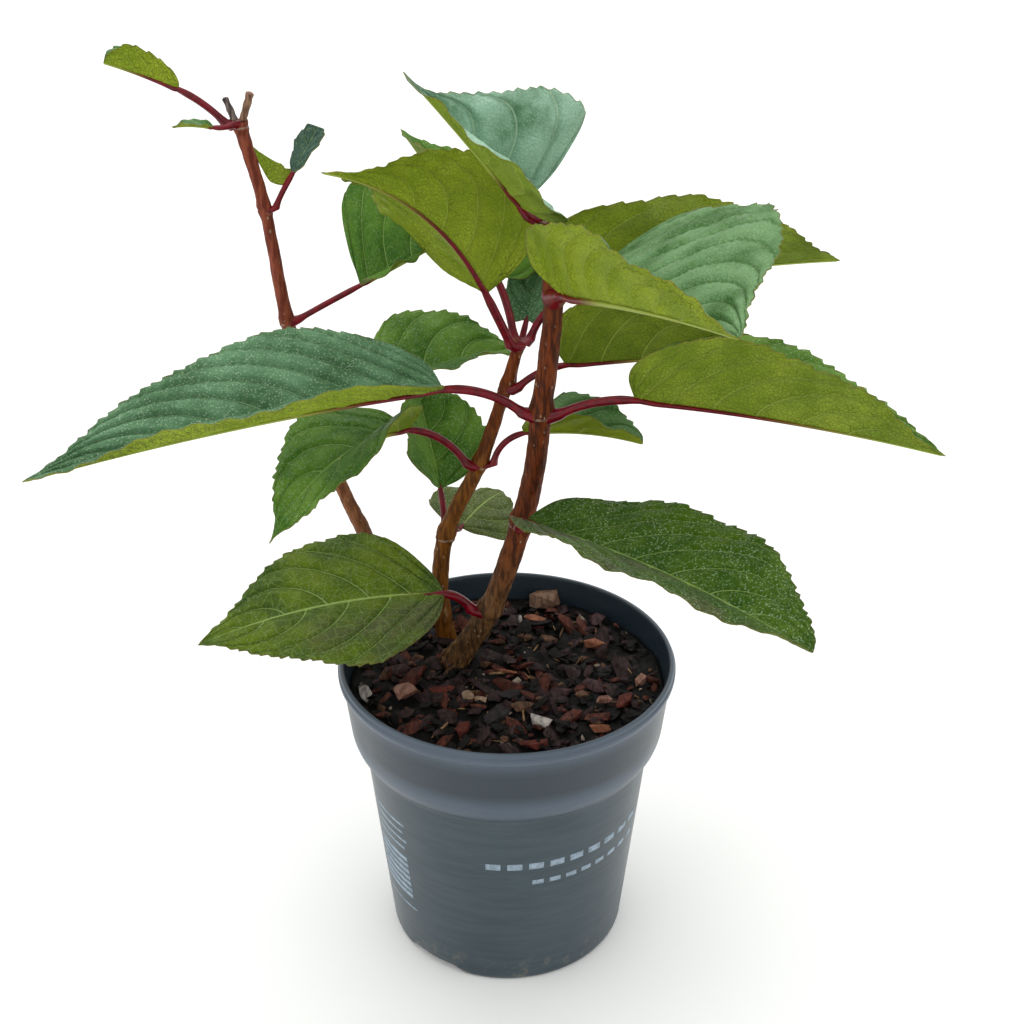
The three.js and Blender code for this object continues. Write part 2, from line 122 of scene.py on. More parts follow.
# Leaves, as in the CAD, in millimetres and degrees: the joint and the stalk's length, bearing, rise and
# radius, then the blade's length, width, bearing, rise, droop and the fold of its left and right half.
# tone names the colours, quilt is how deep the veins are set, and red_to how far the midrib stays red.
LEAF_COLUMNS = (
    "on", "stalk", "stalk_bearing", "stalk_rise", "stalk_radius",
    "blade", "width", "bearing", "rise", "droop", "left", "right",
)
LEAF_ROWS = {
    "leaf_front_1": (
        ("front_1", 11, 190, 58, 1.5, 76, 52, 195, 8, 28, -15, 24),
        dict(tone="gold", quilt=1.3),
    ),
    "leaf_front_2": (
        ("front_2", 8, 262, 66, 1.4, 99, 54, 316, 7, 16, 14, 27),
        dict(lobe=14, belly=0.55, taper=0.85, tone="dusky"),
    ),
    "leaf_front_3_left": (
        ("front_3", 25, 190, 38, 1.4, 114, 54, 200, -1, 8, 32, 37),
        dict(lobe=6, tone="painted_sheen_and_light", red_to=0.45, quilt=2.0),
    ),
    "leaf_front_3_right": (
        ("front_3", 23, 340, 30, 1.4, 84, 52, 344, 0, 9, 34, 70),
        dict(lobe=16, tone="green", red_to=0.9, quilt=1.3),
    ),
    "leaf_front_4": (
        ("front_4", 6, 280, 20, 1.8, 96, 72, 291, 16, 6, 26, 58),
        dict(lobe=32, skew=0.3, tone="fresh", red_to=0.3, quilt=1.8),
    ),
    "leaf_front_top": (
        ("front_top", 4, 200, 50, 1.2, 52, 58, 216, 50, 4, -5, 104),
        dict(lobe=4, belly=0.22, taper=2.5, tone="pale_painted_sheen", red_to=0.3, quilt=1.6),
    ),
    "leaf_middle_1_left": (("middle_1", 12, 100, 75, 1.0, 40, 38, 113, 56, 6, 50, 15), dict(tone="green")),
    "leaf_middle_1_right": (
        ("middle_1", 5, 60, -50, 1.0, 32, 33, 65, 8, 25, 10, -18),
        dict(lobe=4, tone="bronze"),
    ),
    "leaf_middle_2_left": (
        ("middle_2", 26, 200, 56, 1.3, 60, 42, 228, 14, 66, 60, 12),
        dict(tip_left=-10, tip_right=15, lobe=6, taper=1.5, tone="green"),
    ),
    "leaf_middle_2_right": (
        ("middle_2", 16, 340, 74, 1.1, 37, 30, 341, 14, 24, 30, 45),
        dict(taper=0.75, tone="fresh", red_to=0.2),
    ),
    "leaf_middle_3_right": (
        ("middle_3", 17, 340, 46, 1.2, 60, 48, 352, 8, 2, 30, 75),
        dict(lobe=16, tone="shade", red_to=0.5),
    ),
    "leaf_middle_3_left": (
        ("middle_3", 19, 60, 66, 1.0, 26, 18, 70, 48, 10, 20, 20),
        dict(lobe=8, tone="painted_sheen_and_light"),
    ),
    "leaf_middle_top_left": (
        ("middle_top", 20, 225, 62, 1.4, 69, 56, 218, 62, 48, 70, -2),
        dict(belly=0.28, taper=1.8, tone="fresh", red_to=1.0, quilt=1.4),
    ),
    "leaf_middle_top_back": (
        ("middle_top", 19, 120, 70, 1.2, 56, 42, 131, 44, 12, 55, 15),
        dict(lobe=20, tone="shade"),
    ),
    "leaf_middle_top_right": (
        ("middle_top", 20, 35, 60, 1.2, 86, 60, 17, 5, 9, 30, 72),
        dict(lobe=34, belly=0.28, tone="shade"),
    ),
    "leaf_back_1": (("back_1", 17, 355, 36, 1.0, 48, 44, 13, 22, 24, 36, 20), dict(lobe=4, tone="green")),
    "leaf_back_2": (
        ("back_2", 21, 0, 30, 1.0, 29, 46, 8, 26, 0, 52, 18),
        dict(lobe=0, skew=0.3, tone="shade"),
    ),
    "leaf_back_3": (
        ("back_3", 11, 350, 66, 0.9, 15, 12, 40, 50, 0, 10, 10),
        dict(belly=0.8, taper=0.3, red_to=0.3, tone="torn"),
    ),
    "leaf_back_top_long": (
        ("back_top", 15, 192, 48, 1.1, 21, 15, 205, 28, 8, 72, 50),
        dict(belly=0.7, taper=0.5, tone="fresh", red_to=1.0),
    ),
    "leaf_back_top_short": (("back_top", 6, 245, -5, 0.8, 11, 7, 190, 12, 20, 20, 20), dict(tone="fresh")),
}
LEAVES = {name: dict(zip(LEAF_COLUMNS, row), **more) for name, (row, more) in LEAF_ROWS.items()}

# ------------------------------------------------------------------ vectors and curves


def heading(bearing, rise):
    """Unit vectors with these bearings and rises, in degrees."""
    turn = np.radians(np.asarray(bearing, float))
    lift = np.radians(np.asarray(rise, float))
    level = np.cos(lift)
    return np.stack([level * np.cos(turn), level * np.sin(turn), np.sin(lift) + 0 * turn], -1)


def mix(a, b, share):
    return a + (b - a) * share


def smooth(low, high, x):
    t = np.clip((x - low) / (high - low), 0, 1)
    return t * t * (3 - 2 * t)


def unit(v):
    return v / np.maximum(np.linalg.norm(v, axis=-1, keepdims=True), 1e-12)


def through(points, places):
    """Points on a smooth curve through points; a place is a point's number, or between two."""
    points = np.asarray(points, float)
    low = np.clip(np.floor(places).astype(int), 0, len(points) - 2)
    share = (np.asarray(places) - low)[:, None]
    before = points[np.maximum(low - 1, 0)]
    a = points[low]
    b = points[low + 1]
    after = points[np.minimum(low + 2, len(points) - 1)]
    lean_a = (b - before) / 2
    lean_b = (after - a) / 2
    s2 = share * share
    s3 = s2 * share
    return (
        (2 * s3 - 3 * s2 + 1) * a + (s3 - 2 * s2 + share) * lean_a
        + (3 * s2 - 2 * s3) * b + (s3 - s2) * lean_b
    )


def stem_curve(stations, places):
    """A centripetal Catmull-Rom curve through a stem's stations, as the CAD has it."""
    points = np.array([s[:3] for s in stations])
    padded = np.vstack([2 * points[0] - points[1], points, 2 * points[-1] - points[-2]])
    found = []
    for place in places:
        low = min(int(place), len(points) - 2)
        p = padded[low:low + 4]
        gaps = [max(np.sum((p[i + 1] - p[i]) ** 2) ** 0.25, 1e-4) for i in range(3)]
        lean_1 = ((p[1] - p[0]) / gaps[0] - (p[2] - p[0]) / (gaps[0] + gaps[1])
                  + (p[2] - p[1]) / gaps[1]) * gaps[1]
        lean_2 = ((p[2] - p[1]) / gaps[1] - (p[3] - p[1]) / (gaps[1] + gaps[2])
                  + (p[3] - p[2]) / gaps[2]) * gaps[1]
        t = place - low
        found.append(
            (2 * t**3 - 3 * t**2 + 1) * p[1] + (t**3 - 2 * t**2 + t) * lean_1
            + (3 * t**2 - 2 * t**3) * p[2] + (t**3 - t**2) * lean_2
        )
    return np.array(found)


def grain(points, size, seed=0.0):
    """Smooth random numbers from -1 to 1 at points in millimetres, with bumps of about that size."""
    shift = Vector((seed * 17.3, seed * 5.9, seed * 31.1))
    flat = np.asarray(points).reshape(-1, 3) / size
    found = [noise.noise(Vector(p) + shift) for p in flat]
    return np.array(found).reshape(np.asarray(points).shape[:-1])


# ------------------------------------------------------------------ meshes


def new_piece(name, points, faces, materials, face_slots=None, replaces=(), slot=None):
    """A smooth-shaded mesh object in metres from points in millimetres, riding on the plant."""
    mesh = bpy.data.meshes.new(name)
    mesh.from_pydata((np.asarray(points) * MM).tolist(), [], [list(map(int, f)) for f in faces])
    for material in materials:
        mesh.materials.append(material)
    if face_slots is not None:
        mesh.polygons.foreach_set("material_index", np.asarray(face_slots, np.int32))
    mesh.polygons.foreach_set("use_smooth", np.ones(len(mesh.polygons), bool))
    mesh.update()
    piece = bpy.data.objects.new(name, mesh)
    bpy.context.scene.collection.objects.link(piece)
    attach(piece, "root")
    if replaces:
        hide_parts(*replaces)
    return piece


def add_map(piece, name, corners):
    """A UV map from an array of one pair for each face corner."""
    layer = piece.data.uv_layers.new(name=name)
    layer.uv.foreach_set("vector", np.asarray(corners, np.float32).ravel())


def tube(rings, first=0):
    """Quads along rings of points (rings, sides, 3) and a fan at each end: points and faces."""
    count, sides = rings.shape[:2]
    points = np.vstack([rings.reshape(-1, 3), rings[0].mean(0), rings[-1].mean(0)])
    low = np.arange(count - 1)[:, None] * sides
    i = np.arange(sides)[None, :]
    j = (i + 1) % sides
    quads = np.stack([low + i, low + j, low + sides + j, low + sides + i], -1).reshape(-1, 4)
    foot, top = count * sides, count * sides + 1
    last = (count - 1) * sides
    caps = [(foot, (k + 1) % sides, k) for k in range(sides)]
    caps += [(top, last + k, last + (k + 1) % sides) for k in range(sides)]
    faces = [tuple(q + first) for q in quads] + [tuple(np.array(c) + first) for c in caps]
    return points, faces


def rings_round(centres, alongs, radii, sides):
    """Circles of points square to a line; radii is (rings,) or (rings, sides)."""
    across = unit(np.cross(alongs, [0.0, 1.0, 0.02]))
    deep = np.cross(across, alongs)
    turn = 2 * np.pi * np.arange(sides) / sides
    radii = np.asarray(radii)
    radii = radii[:, None] * np.ones(sides) if radii.ndim == 1 else radii
    spokes = np.cos(turn)[None, :, None] * across[:, None] - np.sin(turn)[None, :, None] * deep[:, None]
    return centres[:, None] + spokes * radii[..., None]


# ------------------------------------------------------------------ materials


def rgb(red, green, blue):
    """A display colour, 0 to 255, as the linear colour that a shader takes."""
    def linear(c):
        c = c / 255
        return c / 12.92 if c <= 0.04045 else ((c + 0.055) / 1.055) ** 2.4
    return (linear(red), linear(green), linear(blue), 1.0)


class Nodes:
    """A short way to write a material's node tree."""

    def __init__(self, name):
        self.material = bpy.data.materials.new(name)
        self.material.use_nodes = True
        self.tree = self.material.node_tree
        self.shader = self.tree.nodes["Principled BSDF"]
        self.place = self.add("ShaderNodeTexCoord").outputs["Object"]

    def add(self, kind, **values):
        node = self.tree.nodes.new(kind)
        for key, value in values.items():
            setattr(node, key, value)
        return node

    def link(self, source, socket):
        if isinstance(source, (int, float, tuple)):
            socket.default_value = source
        else:
            self.tree.links.new(source, socket)

    def math(self, operation, a, b=0.0, c=0.0):
        node = self.add("ShaderNodeMath", operation=operation)
        for value, socket in zip((a, b, c), node.inputs):
            self.link(value, socket)
        return node.outputs[0]

    def ramp(self, value, low, high, to_low=0.0, to_high=1.0):
        """value taken smoothly from to_low at low to to_high at high."""
        node = self.add("ShaderNodeMapRange", interpolation_type="SMOOTHSTEP")
        for key, v in {"Value": value, "From Min": low, "From Max": high,
                       "To Min": to_low, "To Max": to_high}.items():
            self.link(v, node.inputs[key])
        return node.outputs[0]

    def mix(self, share, a, b, blend="MIX"):
        node = self.add("ShaderNodeMix", data_type="RGBA", blend_type=blend)
        self.link(share, node.inputs[0])
        self.link(a, node.inputs[6])
        self.link(b, node.inputs[7])
        return node.outputs[2]

    def over(self, colour, mask, strength, other):
        """colour with the other colour laid over it, where the mask is and as strongly as given."""
        return self.mix(self.math("MULTIPLY", mask, strength), colour, other)

    def away(self, value, centre):
        """How far value is from centre."""
        return self.math("ABSOLUTE", self.math("SUBTRACT", value, centre))

    def height(self):
        """Height above the floor in millimetres."""
        return self.math("DIVIDE", self.split(self.place)[2], MM)

    def noise(self, size, detail=3.0, rough=0.55, place=None, warp=0.0):
        """Noise from 0 to 1 with bumps of about that many millimetres."""
        node = self.add("ShaderNodeTexNoise")
        self.link(place or self.place, node.inputs["Vector"])
        node.inputs["Scale"].default_value = 1 / (size * MM)
        node.inputs["Detail"].default_value = detail
        node.inputs["Roughness"].default_value = rough
        node.inputs["Distortion"].default_value = warp
        return node.outputs[0]

    def cells(self, size, feature="DISTANCE_TO_EDGE", place=None):
        node = self.add("ShaderNodeTexVoronoi", feature=feature)
        self.link(place or self.place, node.inputs["Vector"])
        node.inputs["Scale"].default_value = 1 / (size * MM)
        return node.outputs["Distance"]

    def stretched(self, x, y, z, place=None):
        """The object's own coordinates scaled along its axes."""
        node = self.add("ShaderNodeMapping")
        self.link(place or self.place, node.inputs["Vector"])
        node.inputs["Scale"].default_value = (x, y, z)
        return node.outputs[0]

    def split(self, vector):
        node = self.add("ShaderNodeSeparateXYZ")
        self.link(vector, node.inputs[0])
        return node.outputs

    def map(self, name):
        """The numbers that a mesh's own map holds at a point."""
        node = self.add("ShaderNodeUVMap")
        node.uv_map = name
        return self.split(node.outputs[0])

    def bump(self, *layers):
        """Adds height layers of (value, depth in millimetres) to the shader's normal."""
        normal = None
        for value, depth in layers:
            node = self.add("ShaderNodeBump")
            node.inputs["Distance"].default_value = abs(depth) * MM
            node.invert = depth < 0
            self.link(value, node.inputs["Height"])
            if normal is not None:
                self.link(normal, node.inputs["Normal"])
            normal = node.outputs[0]
        self.link(normal, self.shader.inputs["Normal"])

    def finish(self, colour, roughness, specular=0.5, **constants):
        self.link(colour, self.shader.inputs["Base Color"])
        self.link(roughness, self.shader.inputs["Roughness"])
        self.shader.inputs["Specular IOR Level"].default_value = specular
        for key, value in constants.items():
            self.shader.inputs[key.replace("_", " ").title()].default_value = value
        return self.material


# ------------------------------------------------------------------ leaf materials

# Display colours of each kind of leaf: upper and under side, each dark and light; in the two bluish tones
# the light upper colour is partly a painted sky sheen. The other values are shares: how strongly its specks
# (pale hair specks, partly painted glints), veins, rungs, grooves (painted shade along the lateral veins),
# net and purple-grey blush show. blush_side is 1 for the left half of the blade and -1 for the right.
TONES = {
    # Painted sheen and light: the bluish light upper colour stands in for sky reflected on the leaf, and the
    # bright under side for light falling on it.
    "painted_sheen_and_light": dict(upper=((58, 98, 58), (100, 142, 104)), under=((130, 152, 26), (150, 170, 46)),
                  specks=0.45, vein=0.6, rung=0.1, vein_colour=(140, 176, 128)),
    # Painted sheen: the pale bluish light upper colour stands in for sky reflected on the leaf.
    "pale_painted_sheen": dict(upper=((84, 130, 94), (168, 206, 182)), under=((120, 144, 30), (140, 162, 46)),
                   specks=0.4, vein=0.8, groove=0.25, vein_colour=(184, 212, 180)),
    "green": dict(upper=((54, 100, 16), (104, 142, 50)), under=((102, 126, 16), (138, 156, 42)), specks=0.3),
    "fresh": dict(upper=((50, 98, 30), (114, 154, 102)), under=((118, 140, 8), (144, 162, 30)),
                  specks=0.25, vein=0.1, rung=0.05, groove=0.6),
    "shade": dict(upper=((50, 96, 10), (88, 130, 32)), under=((98, 120, 6), (130, 150, 28)), specks=0.15),
    "gold": dict(upper=((46, 74, 0), (90, 112, 0)), under=((92, 114, 14), (114, 134, 30)),
                 specks=0.16, blush=0.65, blush_side=1, net=0.16, rung=0.14),
    "dusky": dict(upper=((40, 76, 0), (72, 102, 8)), under=((86, 108, 26), (108, 128, 40)),
                  specks=0.45, blush=0.75, blush_side=-1, net=0.12),
    "torn": dict(upper=((26, 60, 48), (66, 98, 84)), under=((128, 150, 24), (152, 170, 50)), specks=0.15),
    "bronze": dict(upper=((60, 76, 26), (88, 100, 40)), under=((92, 96, 34), (116, 126, 46)),
                   specks=0.3, blush=0.6, blush_side=-1),
}
VEIN_PALE = (150, 176, 96)
VEIN_UNDER = rgb(160, 174, 66)
# Pale hair specks on the upper side, partly painted glints on the hairs.
SPECK = rgb(184, 208, 178)
BLUSH = rgb(84, 80, 58)
MARGIN = rgb(112, 84, 44)
CRIMSON = rgb(118, 0, 22)
CRIMSON_DARK = rgb(82, 0, 16)
MIDRIB = rgb(146, 160, 62)
STALK_DOTS = rgb(190, 120, 124)

# The rungs between two lateral veins: millimetres apart, and how unevenly they lie.
RUNG_SPACING = 3.4
RUNG_WOBBLE = 2.6
RUNG_STAGGER = 0.37


def darker(colour, share):
    """A linear colour with its light cut to a share."""
    return tuple(c * share for c in colour[:3]) + (1,)


def leaf_masks(n):
    """Masks over a blade from its own maps: lateral veins, their flanks where shade is painted, rungs and
    the margin.
    """
    phase, inset, _ = n.map("vein_map")
    away = n.away(n.math("FRACT", phase), 0.5)
    lateral = n.ramp(away, 0.468, 0.494)
    flank_shade = n.ramp(away, 0.36, 0.48)
    margin = n.ramp(inset, 0.5, 0.12)
    wobble = n.math("MULTIPLY", n.noise(4, detail=2), RUNG_WOBBLE)
    stagger = n.math("MULTIPLY", n.math("FLOOR", phase), RUNG_STAGGER)
    rung = n.math("ADD", n.math("ADD", n.math("DIVIDE", inset, RUNG_SPACING), wobble), stagger)
    ladder = n.ramp(n.away(n.math("FRACT", rung), 0.5), 0.45, 0.49)
    return lateral, flank_shade, ladder, margin


def blush_mask(n, look, across):
    """Patches of purple-grey flush on one half of the blade."""
    cloud = n.ramp(n.noise(20, detail=4), 0.42, 0.62)
    one_side = n.ramp(n.math("MULTIPLY", across, look.get("blush_side", 1)), 0.02, 0.4)
    return n.math("MULTIPLY", n.math("MULTIPLY", cloud, one_side), look.get("blush", 0.0))


def blade_upper(name, look):
    n = Nodes(name)
    dark, light = (rgb(*c) for c in look["upper"])
    vein = rgb(*look.get("vein_colour", VEIN_PALE))
    across = n.map("leaf_map")[1]
    lateral, flank_shade, ladder, margin = leaf_masks(n)
    fine = n.ramp(n.cells(0.95), 0.12, 0.02)
    net = n.ramp(n.cells(3.6), 0.07, 0.02)
    rib = n.ramp(n.math("ABSOLUTE", across), 0.024, 0.008)
    # Specks of pale hair, partly painted glints on the hairs.
    specks = n.ramp(n.cells(0.78, feature="F1"), 0.4, 0.18)
    specks = n.math("MULTIPLY", specks, n.ramp(n.noise(6, detail=4), 0.3, 0.62, 0.35, 1.0))
    colour = n.mix(n.ramp(n.noise(15, detail=4), 0.34, 0.66), dark, light)
    colour = n.mix(n.ramp(n.noise(2.2, detail=3), 0.35, 0.75, 0.0, 0.35), colour, light)
    colour = n.mix(blush_mask(n, look, across), colour, BLUSH)
    # Painted shade: the flanks of the lateral veins are darkened, as shade lies in the vein grooves.
    colour = n.over(colour, flank_shade, look.get("groove", 0.5), dark)
    # Painted shade: the sunken fine net of veinlets is darkened.
    colour = n.over(colour, fine, 0.22, dark)
    colour = n.over(colour, net, look.get("net", 0.06), vein)
    colour = n.over(colour, ladder, look.get("rung", 0.22), vein)
    colour = n.over(colour, lateral, look.get("vein", 0.65), vein)
    colour = n.over(colour, rib, 0.85, vein)
    colour = n.over(colour, specks, look["specks"], SPECK)
    colour = n.over(colour, margin, 0.4, MARGIN)
    n.bump((fine, -0.07), (net, -0.05), (lateral, -0.1), (specks, 0.05), (n.noise(0.7, detail=2), 0.08))
    return n.finish(colour, n.ramp(n.noise(5), 0.3, 0.7, 0.44, 0.58), specular=0.2)


def blade_under(name, look):
    n = Nodes(name)
    dark, light = (rgb(*c) for c in look["under"])
    across = n.map("leaf_map")[1]
    lateral, flank_shade, ladder, margin = leaf_masks(n)
    fine = n.ramp(n.cells(1.05), 0.1, 0.02)
    mesh_shade = darker(dark, 0.7)
    colour = n.mix(n.ramp(n.noise(16, detail=4), 0.32, 0.68), dark, light)
    colour = n.over(colour, blush_mask(n, look, across), 0.6, BLUSH)
    # Painted shade: the flanks beside the raised lateral veins are darkened.
    colour = n.over(colour, flank_shade, 0.32, dark)
    colour = n.over(colour, fine, 0.4, mesh_shade)
    colour = n.over(colour, ladder, 0.3, mesh_shade)
    colour = n.over(colour, lateral, 0.75, VEIN_UNDER)
    colour = n.over(colour, margin, 0.4, MARGIN)
    n.bump((fine, -0.12), (ladder, -0.08), (lateral, 0.16), (n.noise(0.6, detail=2), 0.05))
    return n.finish(colour, n.ramp(n.noise(5), 0.3, 0.7, 0.52, 0.64), specular=0.3)


def stalk_material():
    """Crimson where the map's second number is 1, yellow-green midrib where it is 0."""
    n = Nodes("leaf_stalk")
    redness_there = n.map("leaf_map")[1]
    red = n.mix(n.ramp(n.noise(2.4, detail=4), 0.3, 0.7), CRIMSON_DARK, CRIMSON)
    colour = n.mix(redness_there, MIDRIB, red)
    dots = n.ramp(n.cells(1.0, feature="F1"), 0.2, 0.1)
    colour = n.over(colour, dots, 0.06, STALK_DOTS)
    n.bump((n.noise(0.8, detail=3), 0.06))
    return n.finish(colour, 0.3, specular=0.32)


# ------------------------------------------------------------------ leaves

# Places across half a blade, 0 at the midrib and 1 at the margin, closest together at the margin.
HALF_COLUMNS = np.concatenate([[0, 0.03], np.arange(0.07, 0.93, 0.04), [0.95, 0.98, 1]])
STATIONS_PER_TOOTH = 7
FEWEST_TEETH = 8
TOOTH_PITCH = 3.5
TOOTH_DEPTH = 1.05
TOOTH_SLOPE = 0.8  # the share of a tooth that is its long side
VEIN_SPACING = 12.5
VEIN_CROWDING = 0.92
VEIN_SWEEP = 0.44
VEIN_BEND = 1.5
CUP = -0.18  # radians by which each half curves from midrib to margin
QUILT = 0.8
PUCKER = 0.28
RIPPLE = 0.35
RIPPLE_TEETH = 2.3
LEAST_HALF_WIDTH = 0.2
BLADE_THICKNESS = 0.36
MARGIN_THICKNESS = 0.2
UPPER_SLOT, UNDER_SLOT, STALK_SLOT = 0, 1, 2
NO_VEIN = (0.25, 5.0)  # a phase and an inset where the blade materials draw neither vein nor margin
STALK_SIDES = 14
MIDRIB_RINGS = 46
MIDRIB_END = 1.15  # steps short of the tip
MIDRIB_TIP_RADIUS = 0.22
STALK_NECK = 0.8
STALK_ROOT_RINGS = 8
ROOT_DEPTH = 0.5
ROOT_DROP = 0.9
ROOT_FLARE = 1.45


def joint(name):
    """The centre and radius of a stem at a leaf joint."""
    for stations in STEMS.values():
        for x, y, z, r, node in stations:
            if node == name:
                return np.array([x, y, z]), r
    raise KeyError(name)


def stalk_turn(leaf):
    """Degrees by which a leaf turns from its stalk's bearing to its blade's, the short way round."""
    return (leaf["bearing"] - leaf["stalk_bearing"] + 540) % 360 - 180


def leaf_line(leaf):
    """The CAD's own points along a leaf: STALK_STEPS of stalk, then the blade's."""
    centre, radius = joint(leaf["on"])
    clear = radius * NODE_SWELL + GAP + leaf["stalk_radius"]
    here = centre + heading(leaf["stalk_bearing"], 0) * clear
    points = []
    turn = stalk_turn(leaf)
    for i in range(STALK_STEPS):
        share = i / STALK_STEPS
        points.append(here)
        rise = mix(leaf["stalk_rise"], leaf["rise"], share)
        step = leaf["stalk"] / STALK_STEPS
        here = here + heading(leaf["stalk_bearing"] + turn * share, rise) * step
    shares = (np.arange(BLADE_STEPS + 1) / BLADE_STEPS) ** BLADE_STEP_POWER
    for low, high in zip(shares, [*shares[1:], 1.0]):
        points.append(here)
        rise = leaf["rise"] - leaf["droop"] * low
        here = here + heading(leaf["bearing"], rise) * (high - low) * leaf["blade"]
    return np.array(points)


def outline(t, leaf):
    """Half width of a blade as a share of its widest, t from the stalk (0) to the tip (1)."""
    belly = leaf.get("belly", BELLY)
    rising = np.sin(np.pi / 2 * np.clip(t / belly, 0, 1)) ** BASE_ROUNDNESS
    falling = np.cos(np.pi / 2 * np.clip((t - belly) / (1 - belly), 0, 1))
    return np.where(t < belly, rising, falling ** leaf.get("taper", TIP_TAPER))


def blade_stations(leaf):
    """Shares along the blade, closer where it is narrow at either end."""
    teeth = max(FEWEST_TEETH, leaf["blade"] / TOOTH_PITCH * 1.12)
    count = int(teeth * STATIONS_PER_TOOTH)
    w = np.linspace(0, 1, count + 1)
    return 0.5 * w ** BLADE_STEP_POWER + 0.5 * w


def half_fold(angle):
    """Running sums across half a blade of how far out and how far up it goes, and its tilt."""
    tilt = angle[:, None] + CUP * (HALF_COLUMNS - 0.5)
    step = np.diff(HALF_COLUMNS)
    cos_mid = (np.cos(tilt[:, 1:]) + np.cos(tilt[:, :-1])) / 2 * step
    sin_mid = (np.sin(tilt[:, 1:]) + np.sin(tilt[:, :-1])) / 2 * step
    zero = np.zeros((len(angle), 1))
    return np.hstack([zero, np.cumsum(cos_mid, 1)]), np.hstack([zero, np.cumsum(sin_mid, 1)]), tilt


def margin_teeth(leaf, t, reach, centre, shift, number):
    """At each station: how many teeth the margin has had, the place on the tooth, and its size."""
    steps = np.hypot(np.gradient(reach), np.gradient(t) * leaf["blade"])
    tooth_place = np.cumsum(steps) / TOOTH_PITCH
    saw = (tooth_place + shift) % 1.0
    saw = np.where(saw < TOOTH_SLOPE, 1 - saw / TOOTH_SLOPE, (saw - TOOTH_SLOPE) / (1 - TOOTH_SLOPE))
    size = TOOTH_DEPTH * smooth(0.06, 0.3, t) * np.minimum(1, reach / 8)
    return tooth_place, saw, size * (0.75 + 0.5 * grain(centre, 5, number))


def vein_phases(leaf, t, points, sign, number):
    """A number that passes a half at each lateral vein, over half a blade."""
    count = max(4, round(leaf["blade"] / VEIN_SPACING))
    phase = count * (t[:, None] ** VEIN_CROWDING - VEIN_SWEEP * HALF_COLUMNS**VEIN_BEND)
    return phase + 0.05 * grain(points, 14, number + 0.5) + (0.5 if sign > 0 else 0)


def surface_relief(leaf, points, phase, reach, number):
    """Height of half a blade's surface: grooves along its lateral veins, and puckers between them."""
    groove = smooth(0.3, 0.5, np.abs(phase % 1.0 - 0.5))
    room = np.sin(np.pi * np.clip(HALF_COLUMNS, 0, 1)) ** 0.5 * np.minimum(1, reach[:, None] / 12)
    quilt = QUILT * leaf.get("quilt", 1.0) * (0.4 - groove)
    return (quilt + PUCKER * grain(points, 5.0, number)) * room


def margin_wave(leaf, t, tooth_place, wave_turns, shift):
    """Long waves and short ripples of half a blade, strongest at its margin."""
    s = HALF_COLUMNS
    down = t[:, None]
    depth = min(1.0, leaf["width"] / 40)
    wave = depth * s**2.2 * np.sin(2 * np.pi * (wave_turns * down + shift))
    ripple = np.sin(2 * np.pi * tooth_place / RIPPLE_TEETH)[:, None] * smooth(0.1, 0.4, down)
    fade = smooth(0, 0.08, down) * smooth(1.0, 0.94, down)
    return (wave + RIPPLE * s**3 * ripple) * fade


def blade_sheet(leaf, number):
    """Shares t along a blade, and for each half its points, normals, vein phase and inset."""
    s = HALF_COLUMNS
    t = blade_stations(leaf)
    centre = through(leaf_line(leaf), STALK_STEPS + t ** (1 / BLADE_STEP_POWER) * BLADE_STEPS)
    along = heading(leaf["bearing"], leaf["rise"] - leaf["droop"] * t)
    side = heading(leaf["bearing"] + 90 + 0 * t, 0)
    above = np.cross(along, side)
    half = np.maximum(leaf["width"] / 2 * outline(t, leaf), LEAST_HALF_WIDTH)
    lobe = leaf.get("lobe", 0) * half / (leaf["width"] / 2) * (1 - t) ** 3
    rng = random.Random(number)
    wave_turns = rng.uniform(2.2, 3.4)
    halves = []
    for sign, root, tip in ((1, "left", "tip_left"), (-1, "right", "tip_right")):
        shift = rng.random()
        reach = half * (1 + sign * leaf.get("skew", 0))
        out, lift, tilt = half_fold(np.radians(mix(leaf[root], leaf.get(tip, leaf[root]), t)))
        tooth_place, saw, size = margin_teeth(leaf, t, reach, centre, shift, number)
        edge = smooth(0.8, 1.0, s) ** 1.5
        arm = reach[:, None] - (size * saw)[:, None] * edge / np.maximum(s, 1e-6)
        lean = (size * (1 - saw))[:, None] * edge * 0.5 - lobe[:, None] * s**1.3
        points = (
            centre[:, None]
            + sign * side[:, None] * (arm * out)[..., None]
            + above[:, None] * (arm * lift)[..., None]
            + along[:, None] * lean[..., None]
        )
        normal = above[:, None] * np.cos(tilt)[..., None] - sign * side[:, None] * np.sin(tilt)[..., None]
        phase = vein_phases(leaf, t, points, sign, number)
        rise = surface_relief(leaf, points, phase, reach, number)
        rise = rise + margin_wave(leaf, t, tooth_place, wave_turns, shift)
        halves.append((points + normal * rise[..., None], normal, phase, (1 - s) * reach[:, None]))
    return t, halves


def blade_skins(halves):
    """Top and bottom points of a blade, rows along it and columns from its left margin to its right."""
    left, right = halves
    across = np.concatenate([HALF_COLUMNS[::-1], -HALF_COLUMNS[1:]])
    sheet = np.concatenate([left[0][:, ::-1], right[0][:, 1:]], 1)
    middle = unit(left[1][:, :1] + right[1][:, :1])
    normal = np.concatenate([left[1][:, :0:-1], middle, right[1][:, 1:]], 1)
    skin = mix(BLADE_THICKNESS, MARGIN_THICKNESS, np.abs(across) ** 4) / 2
    return across, sheet + normal * skin[None, :, None], sheet - normal * skin[None, :, None]


